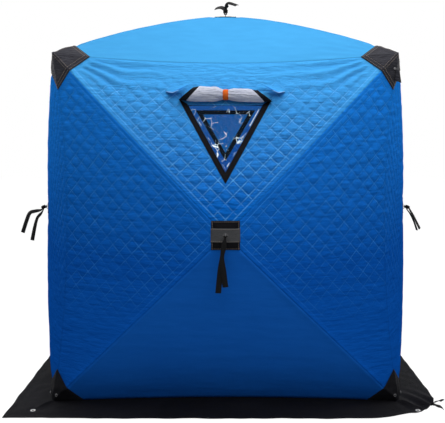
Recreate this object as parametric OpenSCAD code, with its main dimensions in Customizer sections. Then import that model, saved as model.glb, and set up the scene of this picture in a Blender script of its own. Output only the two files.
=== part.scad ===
// Pop-up ice fishing shelter. Five hubs, one in each wall and one in the roof, push four bowed poles each
// into the eight corners, and the cloth is stretched over them. Every cloth panel is a triangle between
// two poles and one seam. The front faces -Y, and the origin is on the ground in the middle.

/* [Shelter] */
// Distance between neighbouring corners along a wall
base_w = 1800; // [1400:10:2400]
// Height of the upper corners above the ground
eave_h = 1820; // [1500:10:2200]
// How far a wall hub stands out from the plane of its corners
wall_bulge = 260; // [150:5:320]
// How far the roof hub stands above the upper corners
roof_rise = 340; // [200:5:420]
// Extra outward bow of a wall pole at mid length
wall_bow = 12; // [0:1:40]
// Extra upward bow of a roof pole at mid length
roof_bow = 34; // [0:1:60]

/* [Cloth] */
// Thickness of the insulated cloth
cloth_t = 6; // [3:0.5:10]
// Thickness of one layer of reinforcement cloth, tape or webbing
patch_t = 2; // [1:0.5:4]
// Side of the flat square where a hub plate carries the cloth
hub_flat_w = 70; // [66:2:90]
// How far an eave seam is drawn inwards at its middle
eave_draw_in = 60; // [0:5:100]
// How far an eave seam is drawn down at its middle
eave_draw_down = 45; // [0:5:80]
// How far an upright corner seam is drawn inwards at its middle
corner_draw = 56; // [0:4:100]
// How far the hem is drawn inwards at its middle
hem_draw = 48; // [0:4:100]

/* [Reinforcements] */
// Side of the square patch over a hub
hub_patch_w = 140; // [100:5:220]
// Height of the webbing band across a hub patch
hub_band_h = 68; // [30:2:90]
// Length of an upper corner cap along its seams
top_cap_leg = 190; // [120:5:280]
// Length of a lower corner cap along its seams
bottom_cap_leg = 160; // [100:5:260]

/* [Window] */
// Width of the window at its top, outside the tape
window_w = 480; // [300:10:560]
// Height of the window from its top to its point
window_h = 422; // [260:10:480]
// Drop from the upper corners to the top of the window
window_drop = 242; // [200:2:320]
// Width of the tape round the window
tape_w = 23; // [15:1:45]
// Thickness of the clear pane
pane_t = 1; // [0.5:0.1:3]
// Overlap of the pane behind the cloth
pane_margin = 14; // [6:1:20]
// Thickness of a closed window flap
flap_t = 6; // [3:0.5:10]
// Diameter of the rolled flap at its fullest
roll_d = 72; // [50:2:100]
// Diameter of the rolled flap under its tie
pinch_d = 54; // [30:2:90]
// Length of the rolled flap
roll_l = 410; // [240:10:520]
// Reach of the flap's folded ear beyond the roll
ear_l = 100; // [40:5:140]
// Width of the tie round the roll
tie_w = 18; // [8:1:40]

/* [Frame] */
// Diameter of a fibreglass pole
pole_d = 11; // [7:0.5:13]
// Outside diameter of a pole ferrule
ferrule_d = 17; // [15:0.5:24]
// Length of a pole ferrule
ferrule_l = 60; // [40:2:90]
// Length of pole held in a ferrule
pole_hold = 32; // [16:2:36]
// Diameter of the plate that joins the ferrules of a hub
hub_plate_d = 64; // [44:2:90]
// Thickness of the hub plate
hub_plate_t = 10; // [6:1:16]

/* [Skirt] */
// Width of the snow skirt on the ground
skirt_w = 195; // [120:5:320]
// Thickness of the skirt cloth
skirt_t = 2; // [1:0.5:4]
// Seam allowance of the skirt inside the wall
skirt_tuck = 14; // [6:1:20]
// Bore of an anchor eyelet
eyelet_bore = 12; // [8:1:16]
// Flange diameter of an anchor eyelet
eyelet_flange_d = 26; // [22:1:36]
// Distance of an eyelet from the outer edge of the skirt
eyelet_inset = 82; // [40:2:120]

/* [Straps] */
// Width of a pull strap
strap_w = 28; // [15:1:30]
// Bar diameter of the ring that holds a strap
eye_bar = 5; // [3:0.5:7]
// Inside diameter of the ring that holds a strap
eye_d = 16; // [12:1:24]

/* [Hidden] */
WALLS = ["front", "right", "back", "left"];
SIDES = ["upper", "right", "lower", "left"];
half = base_w / 2;
wall_mid = (skirt_t + eave_h) / 2;
wall_h = eave_h - skirt_t;
panel_steps = 9;
rod_sides = 8;
rod_steps = 8;
ferrule_gap = 0.9;
knuckle_swell = 0.5;
knuckle_start = 2;
pole_clearance = 0.3;
pole_lift = -(cloth_t + ferrule_d / 2 + ferrule_gap);
hub_start = 14;
zip_w = 34;
zip_gap = 1;
band_overhang = 4;
roll_gap = 0.9;
strap_t = 2;
eyelet_clearance = 0.2;
eyelet_wall = 2.6;
eyelet_flange_t = 1.2;
fn_loop = 24;
cut_reach = 100;
fn_round = 32;

// Vector helpers
function unit(v) = v / norm(v);
function spin(q, v) = q % 4 == 0 ? v : spin(q - 1, [-v.y, v.x, v.z]);

// A panel is [foot of its hub, first corner, second corner, outward axis, outward direction at each
// corner, hub height, pole bow, draw of its seam]. Seen from outside the corners run clockwise.
function spun(q, p) = [
    spin(q, p[0]), spin(q, p[1]), spin(q, p[2]), spin(q, p[3]), spin(q, p[4]), spin(q, p[5]),
    p[6], p[7], spin(q, p[8])
];
function corner(sx, top) = [sx * half, -half, top ? eave_h : skirt_t];
function away(sx, top) = [sx, -1, top ? 1 : 0];
function wall_panel(q, side) =
    let (
        from = side == "upper" ? [-1, true]
            : side == "right" ? [1, true]
            : side == "lower" ? [1, false]
            : [-1, false],
        to = side == "upper" ? [1, true]
            : side == "right" ? [1, false]
            : side == "lower" ? [-1, false]
            : [-1, true],
        draw = side == "upper" ? [0, eave_draw_in, -eave_draw_down]
            : side == "lower" ? [0, hem_draw, 0]
            : [side == "right" ? -corner_draw : corner_draw, corner_draw, 0]
    )
    spun(q, [
        [0, -half, wall_mid], corner(from[0], from[1]), corner(to[0], to[1]), [0, -1, 0],
        away(from[0], from[1]), away(to[0], to[1]), wall_bulge, wall_bow, draw
    ]);
function roof_panel(q) = spun(q, [
    [0, 0, eave_h], corner(1, true), corner(-1, true), [0, 0, 1], away(1, true), away(-1, true),
    roof_rise, roof_bow, [0, eave_draw_in, -eave_draw_down]
]);
function wall_panels(q) = [for (side = SIDES) wall_panel(q, side)];
roof_panels = [for (q = [0, 3, 2, 1]) roof_panel(q)];

// Rises from 0 at the edge of the hub's flat square to 1 at the seam
flat_share = hub_flat_w / base_w;
function climb(t) = max(0, t - flat_share) / (1 - flat_share);
function row_share(r) = r == 0 ? 0 : flat_share + (1 - flat_share) * (r - 1) / (panel_steps - 1);

// A point of the cloth, from its shares of the two corners. Lift moves it out of the outer face.
function skin(p, l1, l2, lift) =
    let (t = l1 + l2, c = climb(t))
    p[0] * (1 - t) + p[1] * l1 + p[2] * l2
    + p[3] * (p[6] * (1 - c) + 4 * p[7] * c * (1 - c))
    + p[8] * 4 * l1 * l2
    + lift * (p[3] * (1 - t) + p[4] * l1 + p[5] * l2);

// A layer of a panel between two lifts, from the hub to the given row of its triangles
function edge_faces(a, b, count) = [[a, a + count, b + count], [a, b + count, b]];
module layer(p, low, high, n = panel_steps) {
    count = (n + 1) * (n + 2) / 2;
    function id(r, k) = r * (r + 1) / 2 + k;
    function at(r, k, lift) = skin(p, row_share(r) * (1 - k / max(r, 1)), row_share(r) * k / max(r, 1), lift);
    function grid(lift) = [for (r = [0:n]) for (k = [0:r]) at(r, k, lift)];
    over = concat(
        [for (r = [0:n - 1]) for (k = [0:r]) [id(r, k), id(r + 1, k), id(r + 1, k + 1)]],
        [for (r = [1:n - 1]) for (k = [0:r - 1]) [id(r, k), id(r + 1, k + 1), id(r, k + 1)]]
    );
    under = [for (f = over) [f[2] + count, f[1] + count, f[0] + count]];
    rim = [
        for (i = [0:n - 1])
            for (f = concat(
                edge_faces(id(i, 0), id(i + 1, 0), count), edge_faces(id(i + 1, i + 1), id(i, i), count),
                edge_faces(id(n, i), id(n, i + 1), count)
            )) f
    ];
    polyhedron(concat(grid(high), grid(low)), concat(over, under, rim));
}

// A stiff cap over a corner where several panels meet. Each sector is [panel, 1 or 2 for its first or second
// corner], and the cap lies flat on the last triangle of each panel.
function cap_edge(s, on_pole) =
    let (near = row_share(panel_steps - 1), step = 1 / panel_steps)
    s[1] == 1 ? (on_pole ? [near, 0] : [1 - step, step]) : (on_pole ? [0, near] : [step, 1 - step]);
module corner_cap(sectors, share, low, high, closed) {
    across = len(sectors);
    columns = closed ? across : across + 1;
    count = 1 + columns;
    function id(j) = 1 + (closed ? j % columns : j);
    function tip(lift) = skin(sectors[0][0], sectors[0][1] == 1 ? 1 : 0, sectors[0][1] == 1 ? 0 : 1, lift);
    function spoke(s, last, lift) =
        let (e = cap_edge(s, last == (s[1] == 1)))
        tip(lift) + (skin(s[0], e[0], e[1], lift) - tip(lift)) * share * panel_steps;
    function grid(lift) = concat(
        [tip(lift)],
        [for (s = sectors) spoke(s, false, lift)],
        closed ? [] : [spoke(sectors[across - 1], true, lift)]
    );
    over = [for (j = [0:across - 1]) [0, id(j), id(j + 1)]];
    under = [for (f = over) [f[2] + count, f[1] + count, f[0] + count]];
    rim = [for (j = [0:across - 1]) for (f = edge_faces(id(j), id(j + 1), count)) f];
    ends = closed ? [] : concat(edge_faces(0, id(0), count), edge_faces(id(across), 0, count));
    polyhedron(concat(grid(high), grid(low)), concat(over, under, rim, ends));
}

// A bar along a path. Each point has the direction that the section's Y faces and a factor on its width.
module sweep(path, facing, widths, section) {
    last = len(path) - 1;
    m = len(section);
    function along(i) = unit(path[min(i + 1, last)] - path[max(i - 1, 0)]);
    function ring(i) =
        let (t = along(i), y = unit(facing[i] - t * (facing[i] * t)), x = cross(y, t))
        [for (s = section) path[i] + x * s.x * widths[i] + y * s.y];
    side = [
        for (i = [0:last - 1]) for (j = [0:m - 1])
            let (a = i * m + j, b = i * m + (j + 1) % m)
            for (f = [[a, a + m, b + m], [a, b + m, b]]) f
    ];
    polyhedron(
        [for (i = [0:last]) for (v = ring(i)) v],
        concat(side, [[for (j = [0:m - 1]) j]], [[for (j = [m - 1:-1:0]) last * m + j]])
    );
}
function circle_points(r, n) = [for (i = [0:n - 1]) r * [cos(360 * i / n), sin(360 * i / n)]];
function bar_points(w, t) = [[-w / 2, -t / 2], [w / 2, -t / 2], [w / 2, t / 2], [-w / 2, t / 2]];

// Stands children on a hub: Z points outwards, and on a wall Y points up
module at_wall_hub(q) {
    rotate([0, 0, 90 * q]) translate([0, -half - wall_bulge, wall_mid]) rotate([90, 0, 0]) children();
}
module at_roof_hub() {
    translate([0, 0, eave_h + roof_rise]) children();
}

// The window's triangle, set in by a margin, as a prism through the front wall
module window_prism(margin) {
    lean = atan(window_w / 2 / window_h);
    top = -margin;
    point = -window_h + margin / sin(lean);
    across = (top - point) * tan(lean);
    translate([0, -half + cut_reach, eave_h - window_drop]) rotate([90, 0, 0])
        linear_extrude(wall_bulge + 2 * cut_reach) polygon([[-across, top], [across, top], [0, point]]);
}

// Cloth panels
module quilted_panel(q, side) {
    color("dodgerblue") rotate([0, 0, 90 * q]) layer(wall_panel(0, side), -cloth_t, 0);
}
module upper_panel(q) {
    color("dodgerblue") rotate([0, 0, 90 * q]) difference() {
        layer(wall_panel(0, "upper"), -cloth_t, 0);
        window_prism(tape_w);
    }
}
module lower_panel(q) {
    color("royalblue") rotate([0, 0, 90 * q]) layer(wall_panel(0, "lower"), -cloth_t, 0);
}
module roof_cloth(q) {
    color("deepskyblue") layer(roof_panel(q), -cloth_t, 0);
}

// Pole frame
function pole_share(p, mm) = mm / norm(p[1] - p[0]);
foot_lift = ferrule_d / 2 + ferrule_gap;
function pole_point(p, share) =
    skin(p, share, 0, pole_lift) + (p[4].z == 0 ? [0, 0, foot_lift * share] : [0, 0, 0]);
function pole_way(p, from, to) = unit(pole_point(p, to) - pole_point(p, from));
module pole(p) {
    from = pole_share(p, hub_start + ferrule_l - pole_hold + pole_clearance);
    to = 1 - pole_share(p, knuckle_start + ferrule_l - pole_hold + pole_clearance);
    path = [for (i = [0:rod_steps]) pole_point(p, from + (to - from) * i / rod_steps)];
    ones = [for (i = [0:rod_steps]) 1];
    sweep(path, [for (i = [0:rod_steps]) p[3]], ones, circle_points(pole_d / 2, rod_sides));
}
module poles(panels) {
    color("dimgray") for (p = panels) pole(p);
}
module aim(from, way) {
    translate(from) rotate([0, acos(way.z), atan2(way.y, way.x)]) children();
}
module ferrule_body(from, way) {
    aim(from, way) cylinder(d = ferrule_d, h = ferrule_l, $fn = fn_round);
}
module ferrule_bore(from, way) {
    aim(from, way) translate([0, 0, ferrule_l - pole_hold])
        cylinder(d = pole_d + 2 * pole_clearance, h = pole_hold + 1, $fn = fn_round);
}
module hub_frame(panels, rise) {
    p = panels[0];
    centre = p[0] + p[3] * (rise - cloth_t - ferrule_gap);
    starts = [for (k = panels) pole_point(k, pole_share(k, hub_start))];
    ways = [for (k = panels) pole_way(k, pole_share(k, hub_start), pole_share(k, hub_start + ferrule_l))];
    color("black") difference() {
        union() {
            aim(centre, -p[3]) cylinder(d = hub_plate_d, h = hub_plate_t + ferrule_d / 2, $fn = fn_round);
            for (i = [0:3]) ferrule_body(starts[i], ways[i]);
        }
        for (i = [0:3]) ferrule_bore(starts[i], ways[i]);
    }
}
module pole_hubs() {
    for (q = [0:3]) hub_frame(wall_panels(q), wall_bulge);
    hub_frame(roof_panels, roof_rise);
}
module corner_socket(panels) {
    tip = pole_point(panels[0], 1);
    ways = [for (p = panels) -pole_way(p, 1 - pole_share(p, ferrule_l), 1)];
    color("black") difference() {
        union() {
            translate(tip) sphere(d = ferrule_d + 2 * knuckle_swell, $fn = fn_round);
            for (w = ways) ferrule_body(tip + knuckle_start * w, w);
        }
        for (w = ways) ferrule_bore(tip + knuckle_start * w, w);
    }
}
module corner_sockets() {
    for (q = [0:3]) {
        corner_socket([wall_panel(q, "upper"), wall_panel(q + 3, "right"), roof_panel(q + 3)]);
        corner_socket([wall_panel(q, "left"), wall_panel(q + 3, "lower")]);
    }
}

// Reinforcements
module hub_layer(panels, low, high) {
    for (p = panels) layer(p, low, high, 2);
}
module patch_slab(w, h) {
    cube([w, h, 2 * cut_reach], center = true);
}
module hub_patches() {
    color("black") {
        for (q = [0:3]) intersection() {
            hub_layer(wall_panels(q), 0, patch_t);
            at_wall_hub(q) patch_slab(hub_patch_w, hub_patch_w);
        }
        intersection() {
            hub_layer(roof_panels, 0, patch_t);
            at_roof_hub() patch_slab(hub_patch_w, hub_patch_w);
        }
    }
}
module hub_webbing_bands() {
    band_w = hub_patch_w + 2 * band_overhang;
    color("dimgray") {
        for (q = [0:3]) intersection() {
            hub_layer(wall_panels(q), patch_t, 2 * patch_t);
            at_wall_hub(q) patch_slab(band_w, hub_band_h);
        }
        intersection() {
            hub_layer(roof_panels, patch_t, 2 * patch_t);
            at_roof_hub() patch_slab(band_w, hub_band_h);
        }
    }
}
module hub_eye() {
    washer_d = 2 * eye_bar + eye_d;
    washer_t = eye_bar / 2;
    translate([0, 0, 2 * patch_t]) {
        cylinder(d = washer_d, h = washer_t, $fn = fn_round);
        translate([0, 0, washer_t + (eye_d + eye_bar) / 2]) rotate([0, 90, 0])
            rotate_extrude($fn = fn_round) translate([(eye_d + eye_bar) / 2, 0])
                circle(d = eye_bar, $fn = fn_round);
    }
}
module hub_eyes() {
    color("silver") {
        for (q = [0:3]) at_wall_hub(q) hub_eye();
        at_roof_hub() hub_eye();
    }
}
module top_corner_caps() {
    color("black") for (q = [0:3]) corner_cap(
        [
            [wall_panel(q, "upper"), 1], [wall_panel(q, "left"), 2], [wall_panel(q + 3, "right"), 1],
            [wall_panel(q + 3, "upper"), 2], [roof_panel(q + 3), 1], [roof_panel(q), 2]
        ],
        top_cap_leg / base_w, 0, patch_t, true
    );
}
module bottom_corner_caps() {
    color("black") for (q = [0:3]) corner_cap(
        [
            [wall_panel(q + 3, "lower"), 1], [wall_panel(q + 3, "right"), 2],
            [wall_panel(q, "left"), 1], [wall_panel(q, "lower"), 2]
        ],
        bottom_cap_leg / base_w, 0, patch_t, false
    );
}

// Snow skirt
function eyelet_place(sx) =
    [sx * (half + skirt_w - eyelet_inset - skirt_w / 5), -half - skirt_w + eyelet_inset];
module skirt(q, eyelets) {
    inner = cloth_t + skirt_tuck;
    hem = [
        for (i = [0:2 * panel_steps])
            let (u = i / (2 * panel_steps), p = skin(wall_panel(0, "lower"), 1 - u, u, -inner))
            [p.x, p.y]
    ];
    color("black") rotate([0, 0, 90 * q]) linear_extrude(skirt_t) difference() {
        polygon(concat([[-half - skirt_w, -half - skirt_w], [half + skirt_w, -half - skirt_w]], hem));
        if (eyelets)
            for (sx = [-1, 1]) translate(eyelet_place(sx))
                circle(d = eyelet_bore + 2 * eyelet_wall + 2 * eyelet_clearance, $fn = fn_round);
    }
}
module skirt_eyelets() {
    color("silver") for (q = [0, 2]) rotate([0, 0, 90 * q]) for (sx = [-1, 1]) translate(eyelet_place(sx))
        difference() {
            union() {
                cylinder(d = eyelet_bore + 2 * eyelet_wall, h = skirt_t, $fn = fn_round);
                translate([0, 0, skirt_t]) cylinder(d = eyelet_flange_d, h = eyelet_flange_t, $fn = fn_round);
            }
            translate([0, 0, -1])
                cylinder(d = eyelet_bore, h = skirt_t + eyelet_flange_t + 2, $fn = fn_round);
        }
}

// Windows
module window_pane() {
    color([0.8, 0.9, 1, 0.4]) intersection() {
        layer(wall_panel(0, "upper"), -cloth_t - pane_t, -cloth_t);
        window_prism(tape_w - pane_margin);
    }
}
module tape_ring(low, high) {
    intersection() {
        layer(wall_panel(0, "upper"), low, high);
        difference() {
            window_prism(0);
            window_prism(tape_w);
        }
    }
}
// One ring of tape on the outside of the cloth, and one on the inside over the edge of the pane
module window_tape() {
    color("black") {
        tape_ring(0, patch_t);
        tape_ring(-cloth_t - pane_t - patch_t, -cloth_t - pane_t);
    }
}
module window_flap() {
    color("dodgerblue") intersection() {
        layer(wall_panel(0, "upper"), patch_t, patch_t + flap_t);
        window_prism(tape_w / 3);
    }
}
module closed_windows() {
    for (q = [1:3]) rotate([0, 0, 90 * q]) children();
}
// The flap rolled up above the window, drawn in at its middle by a tie
function roll_radius(x) = (pinch_d + (roll_d - pinch_d) * sin(180 * pow(abs(x) * 2 / roll_l, 0.7))) / 2;
roll_z = eave_h - window_drop + roll_d / 3;
function middle_share(z, passes) =
    let (t = passes == 0 ? 0 : middle_share(z, passes - 1))
    (z - wall_mid + t * t * eave_draw_down) * 2 / wall_h;
function wall_front(z) = let (u = middle_share(z, 4) / 2) skin(wall_panel(0, "upper"), u, u, patch_t).y;
roll_lean = (wall_front(roll_z) - wall_front(roll_z - roll_d)) / roll_d;
roll_y = wall_front(roll_z) - roll_d / 2 * sqrt(1 + roll_lean * roll_lean) - roll_gap;
// Sewn edge of the rolled flap above the window, with a folded ear at each end
module front_flap_hem() {
    ear = window_w / 2 + ear_l * 0.7;
    color("dodgerblue") intersection() {
        layer(wall_panel(0, "upper"), 0, patch_t);
        translate([0, -half + cut_reach, eave_h - window_drop]) rotate([90, 0, 0])
            linear_extrude(wall_bulge + 2 * cut_reach) polygon([
                [-window_w / 2, 0], [window_w / 2, 0],
                [ear, ear_l * 0.3], [window_w / 2 - ear_l * 0.1, ear_l * 0.4],
                [-window_w / 2 + ear_l * 0.1, ear_l * 0.4], [-ear, ear_l * 0.3]
            ]);
    }
}
module front_window_roll() {
    steps = 16;
    profile = [for (i = [-steps:steps]) let (x = i * roll_l / 2 / steps) [roll_radius(x), x]];
    color("whitesmoke") translate([0, roll_y, roll_z]) rotate([0, 90, 0])
        rotate_extrude($fn = fn_round) polygon(concat([[0, -roll_l / 2]], profile, [[0, roll_l / 2]]));
}
module front_roll_tie() {
    color("orangered") translate([0, roll_y, roll_z]) rotate([0, 90, 0]) difference() {
        cylinder(r = roll_radius(tie_w / 2) + patch_t, h = tie_w, center = true, $fn = fn_round);
        cylinder(r = roll_radius(tie_w / 2), h = tie_w + 2, center = true, $fn = fn_round);
    }
}

// Zip round the back wall's door panel, along its two poles
module zip_strip(top) {
    rise = (top ? 1 : -1) * wall_h / 2;
    way = unit([-half, rise]);
    inwards = [-abs(way.y), -sign(rise) * abs(way.x)];
    from = hub_patch_w / base_w;
    cap_share = (top ? top_cap_leg : bottom_cap_leg) / base_w;
    to = 1 - cap_share * panel_steps * (1 - row_share(panel_steps - 1)) - zip_gap / half;
    translate([0, -half + cut_reach, wall_mid]) rotate([90, 0, 0]) linear_extrude(wall_bulge + 2 * cut_reach)
        polygon([
            [-half, rise] * from, [-half, rise] * to,
            [-half, rise] * to + inwards * zip_w, [-half, rise] * from + inwards * zip_w
        ]);
}
module back_door_zip() {
    color("black") rotate([0, 0, 180]) for (top = [true, false]) intersection() {
        layer(wall_panel(0, "left"), 0, patch_t);
        zip_strip(top);
    }
}

// Pull straps: a gathered loop through the ring and two tails. Tail points are [x, y, z] from the start of
// the tails, with Z away from the hub and, on a wall, Y up.
eye_middle = 2 * patch_t + eye_bar / 2 + (eye_d + eye_bar) / 2;
eye_far = eye_middle + (eye_d + eye_bar) / 2;
loop_bar = 7;
loop_r = eye_bar / 2 + loop_bar / 2 + 2;
loop_z = eye_far + 1.5;
tail_smooth = 4;
gather_from = 0.3;
gather_share = 0.35;
function bend(a, b, c, d, u) =
    b + (c - a) * u / 2 + (2 * a - 5 * b + 4 * c - d) * u * u / 2 + (3 * b - a - 3 * c + d) * u * u * u / 2;
function smooth_line(p) =
    let (last = len(p) - 1)
    concat(
        [
            for (i = [0:last - 1]) for (k = [0:tail_smooth - 1])
                bend(p[max(i - 1, 0)], p[i], p[i + 1], p[min(i + 2, last)], k / tail_smooth)
        ],
        [p[last]]
    );
module tail(points, face_from, face_to) {
    path = smooth_line(points);
    last = len(path) - 1;
    facing = [for (i = [0:last]) face_from + (face_to - face_from) * i / last];
    gather = [for (i = [0:last]) min(1, gather_from + (1 - gather_from) * i / last / gather_share)];
    sweep(path, facing, gather, bar_points(strap_w, strap_t));
}
module strap_loop() {
    translate([0, 0, loop_z]) rotate([90, 0, 0]) rotate_extrude($fn = fn_loop)
        translate([loop_r, 0]) circle(d = loop_bar, $fn = fn_loop);
}
// The tails are sewn to the outer side of the loop
tail_start = [0, 0, loop_z + loop_r];
hanging_long = [[0, 0, 0], [-8, -40, 0], [-19, -110, -1], [-28, -200, -2], [-35, -270, -3]];
hanging_short = [[0, 0, 0], [-6, -40, 5], [-16, -104, 4], [-8, -180, 4], [0, -240, 4]];
left_long = [[0, 0, 0], [4, -20, 22], [10, -28, 60], [12, -40, 94], [12, -90, 116], [10, -170, 142]];
left_short = [[0, 0, 0], [-8, -40, 22], [-10, -76, 52], [-12, -140, 70], [-12, -225, 86]];
right_long = [[0, 0, 0], [0, 4, 12], [0, -20, 24], [-4, -60, 46], [-6, -145, 88]];
right_short = [[0, 0, 0], [6, -20, 8], [8, -50, 30], [8, -100, 54], [8, -158, 74]];
roof_long = [[0, 0, 0], [-4, 8, 20], [-25, 45, 40], [-48, 90, 48], [-68, 135, 50]];
roof_short = [[0, 0, 0], [4, -8, 32], [20, -38, 52], [46, -80, 40], [74, -122, 22]];
module hanging_strap(q) {
    color("black") at_wall_hub(q) {
        strap_loop();
        translate(tail_start) {
            tail(hanging_long, [0, 0, 1], [0.15, 0, 1]);
            tail(hanging_short, [0, 0, 1], [-0.2, 0, 1]);
        }
    }
}
module left_pull_strap() {
    color("black") at_wall_hub(3) {
        strap_loop();
        translate(tail_start) {
            tail(left_long, [0.5, 1, 0], [1, 0.2, 0.2]);
            tail(left_short, [0.5, 0.2, 1], [1, 0.2, 0.2]);
        }
    }
}
module right_pull_strap() {
    color("black") at_wall_hub(1) {
        strap_loop();
        translate(tail_start) {
            tail(right_long, [-0.3, 1, 0.6], [-0.75, 0.7, 0.6]);
            tail(right_short, [0, 1, 0.6], [0.15, 0.6, 0.7]);
        }
    }
}
module roof_pull_strap() {
    color("black") at_roof_hub() {
        strap_loop();
        translate(tail_start) {
            tail(roof_long, [0, -1, 0.2], [0, -0.9, 0.3]);
            tail(roof_short, [0, -1, 0.2], [0.2, -0.8, 0.5]);
        }
    }
}

upper_panel(0);  // front_upper_panel
quilted_panel(0, "right");  // front_right_panel
lower_panel(0);  // front_lower_panel
quilted_panel(0, "left");  // front_left_panel
upper_panel(1);  // right_upper_panel
quilted_panel(1, "right");  // right_right_panel
lower_panel(1);  // right_lower_panel
quilted_panel(1, "left");  // right_left_panel
upper_panel(2);  // back_upper_panel
quilted_panel(2, "right");  // back_right_panel
lower_panel(2);  // back_lower_panel
quilted_panel(2, "left");  // back_door_panel
upper_panel(3);  // left_upper_panel
quilted_panel(3, "right");  // left_right_panel
lower_panel(3);  // left_lower_panel
quilted_panel(3, "left");  // left_left_panel
roof_cloth(0);  // roof_front_panel
roof_cloth(1);  // roof_right_panel
roof_cloth(2);  // roof_back_panel
roof_cloth(3);  // roof_left_panel
poles([for (q = [0:3]) for (p = wall_panels(q)) p]);  // wall_poles
poles(roof_panels);  // roof_poles
pole_hubs();
corner_sockets();
hub_patches();
hub_webbing_bands();
hub_eyes();
top_corner_caps();
bottom_corner_caps();
skirt(0, true);  // front_skirt
skirt(1, false);  // right_skirt
skirt(2, true);  // back_skirt
skirt(3, false);  // left_skirt
skirt_eyelets();
window_pane();  // front_window_pane
window_tape();  // front_window_tape
front_flap_hem();
front_window_roll();
front_roll_tie();
closed_windows() window_pane();  // closed_window_panes
closed_windows() window_tape();  // closed_window_tapes
closed_windows() window_flap();  // closed_window_flaps
back_door_zip();
hanging_strap(0);  // front_pull_strap
right_pull_strap();
hanging_strap(2);  // back_pull_strap
left_pull_strap();
roof_pull_strap();
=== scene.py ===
"""Looks of the pop-up ice fishing shelter: quilted cloth stretched over bowed poles."""
import math

import bmesh
import bpy
from mathutils import Matrix, Vector, noise


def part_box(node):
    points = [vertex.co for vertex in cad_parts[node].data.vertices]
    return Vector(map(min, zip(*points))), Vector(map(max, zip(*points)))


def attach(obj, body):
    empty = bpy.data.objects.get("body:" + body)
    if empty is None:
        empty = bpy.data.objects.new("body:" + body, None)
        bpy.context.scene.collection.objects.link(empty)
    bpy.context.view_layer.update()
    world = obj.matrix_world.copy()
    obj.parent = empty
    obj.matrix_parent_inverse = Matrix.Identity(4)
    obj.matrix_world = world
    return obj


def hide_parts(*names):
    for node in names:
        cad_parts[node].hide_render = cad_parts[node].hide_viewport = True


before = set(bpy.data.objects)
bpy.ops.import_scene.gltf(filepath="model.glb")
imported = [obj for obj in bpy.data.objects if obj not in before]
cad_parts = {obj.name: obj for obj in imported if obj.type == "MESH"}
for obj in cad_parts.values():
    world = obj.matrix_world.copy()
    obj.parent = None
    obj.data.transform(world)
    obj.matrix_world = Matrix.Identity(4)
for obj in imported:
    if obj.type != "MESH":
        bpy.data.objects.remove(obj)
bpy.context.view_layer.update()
scene = bpy.context.scene
scene.view_settings.view_transform = "Standard"

WALLS = ("front", "right", "back", "left")
CLOSED_WALLS = (1, 2, 3)
DOOR_WALL = 2
SIDES = ("upper", "right", "lower", "left", "roof")
QUILTED = ("upper", "left", "right")
UP = Vector((0, 0, 1))

# Sizes of the stretched skin and of what is sewn on it, in metres, the same as the solids
HALF = 0.9
BASE = 2 * HALF
FOOT = 0.002
EAVE = 1.82
MID = (FOOT + EAVE) / 2
WALL_H = EAVE - FOOT
BULGE = 0.26
RISE = 0.34
WALL_BOW = 0.012
ROOF_BOW = 0.034
EAVE_IN = 0.06
EAVE_DOWN = 0.045
CORNER_IN = 0.056
HEM_IN = 0.048
HUB_FLAT = 0.035 / HALF
HUB_SOFT = 0.03
CLOTH = 0.006
POLE_L = math.hypot(HALF, WALL_H / 2)
PATCH = 0.14 / BASE
TOP_CAP = 0.19 / BASE
LOW_CAP = 0.16 / BASE
WINDOW_W = 0.48
WINDOW_H = 0.422
WINDOW_TOP = EAVE - 0.242
WINDOW_LEAN = math.atan(WINDOW_W / 2 / WINDOW_H)

# Sizes of the dressing alone
TAPE = 0.027
INNER_TAPE = 0.032
SKIRT = 0.2
CELLS = 24
FLAP_CELLS = 8
UPPER_PUFF = 0.0062
SIDE_PUFF = 0.0034
FLAP_PUFF = 0.003
CUSHION_SHAPE = 0.55

# Height of each layer above the skin
PATCH_LIFT = 0.003
TAPE_LIFT = 0.003
CAP_LIFT = 0.0036
HEM_LIFT = 0.004
ZIP_LIFT = 0.0045
BAND_LIFT = 0.0056
FLAP_LIFT = 0.0075
THREAD_LIFT = 0.0006

# Thickness of each layer
CAP_T = 0.0025
PATCH_T = 0.0022
TAPE_T = 0.002
FILM_T = 0.0006
FLAP_T = 0.005
SKIRT_T = 0.0016
STRAP_T = 0.0018


# Small helpers
def ease(x, width):
    t = min(max(x / width, 0.0), 1.0)
    return t * t * (3 - 2 * t)


def bell(x, width):
    return math.exp(-((x / width) ** 2))


def ripple(x, y, z):
    """Smooth noise, the same on every run."""
    return noise.noise(Vector((x, y, z)))


def cushion(a, b, cells):
    """Swell of the quilting: nought on its sewn lines, one in the middle of a cell."""
    return abs(math.sin(math.pi * a * cells) * math.sin(math.pi * b * cells)) ** CUSHION_SHAPE


def turned(q, v):
    """A place or a direction of the front wall, turned to wall q."""
    x, y, z = v
    for _ in range(q % 4):
        x, y = -y, x
    return Vector((x, y, z))


def outward(q):
    return turned(q, (0, -1, 0))


def even_row(steps, place):
    """Points along a line, from a function of the share of its length."""
    return [place(i / steps) for i in range(steps + 1)]


# The stretched cloth. A panel lies between its hub and two corners, and a and b are its shares of them.
def cloth_shape(first, second, draw, roof=False):
    def corner(c):
        return Vector((c[0] * HALF, -HALF, EAVE if c[1] else FOOT))

    return {
        "hub": Vector((0, 0, EAVE)) if roof else Vector((0, -HALF, MID)),
        "first": corner(first),
        "second": corner(second),
        "axis": UP if roof else outward(0),
        "out_first": Vector((first[0], -1, first[1])),
        "out_second": Vector((second[0], -1, second[1])),
        "rise": RISE if roof else BULGE,
        "bow": ROOF_BOW if roof else WALL_BOW,
        "draw": Vector(draw),
    }


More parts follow.
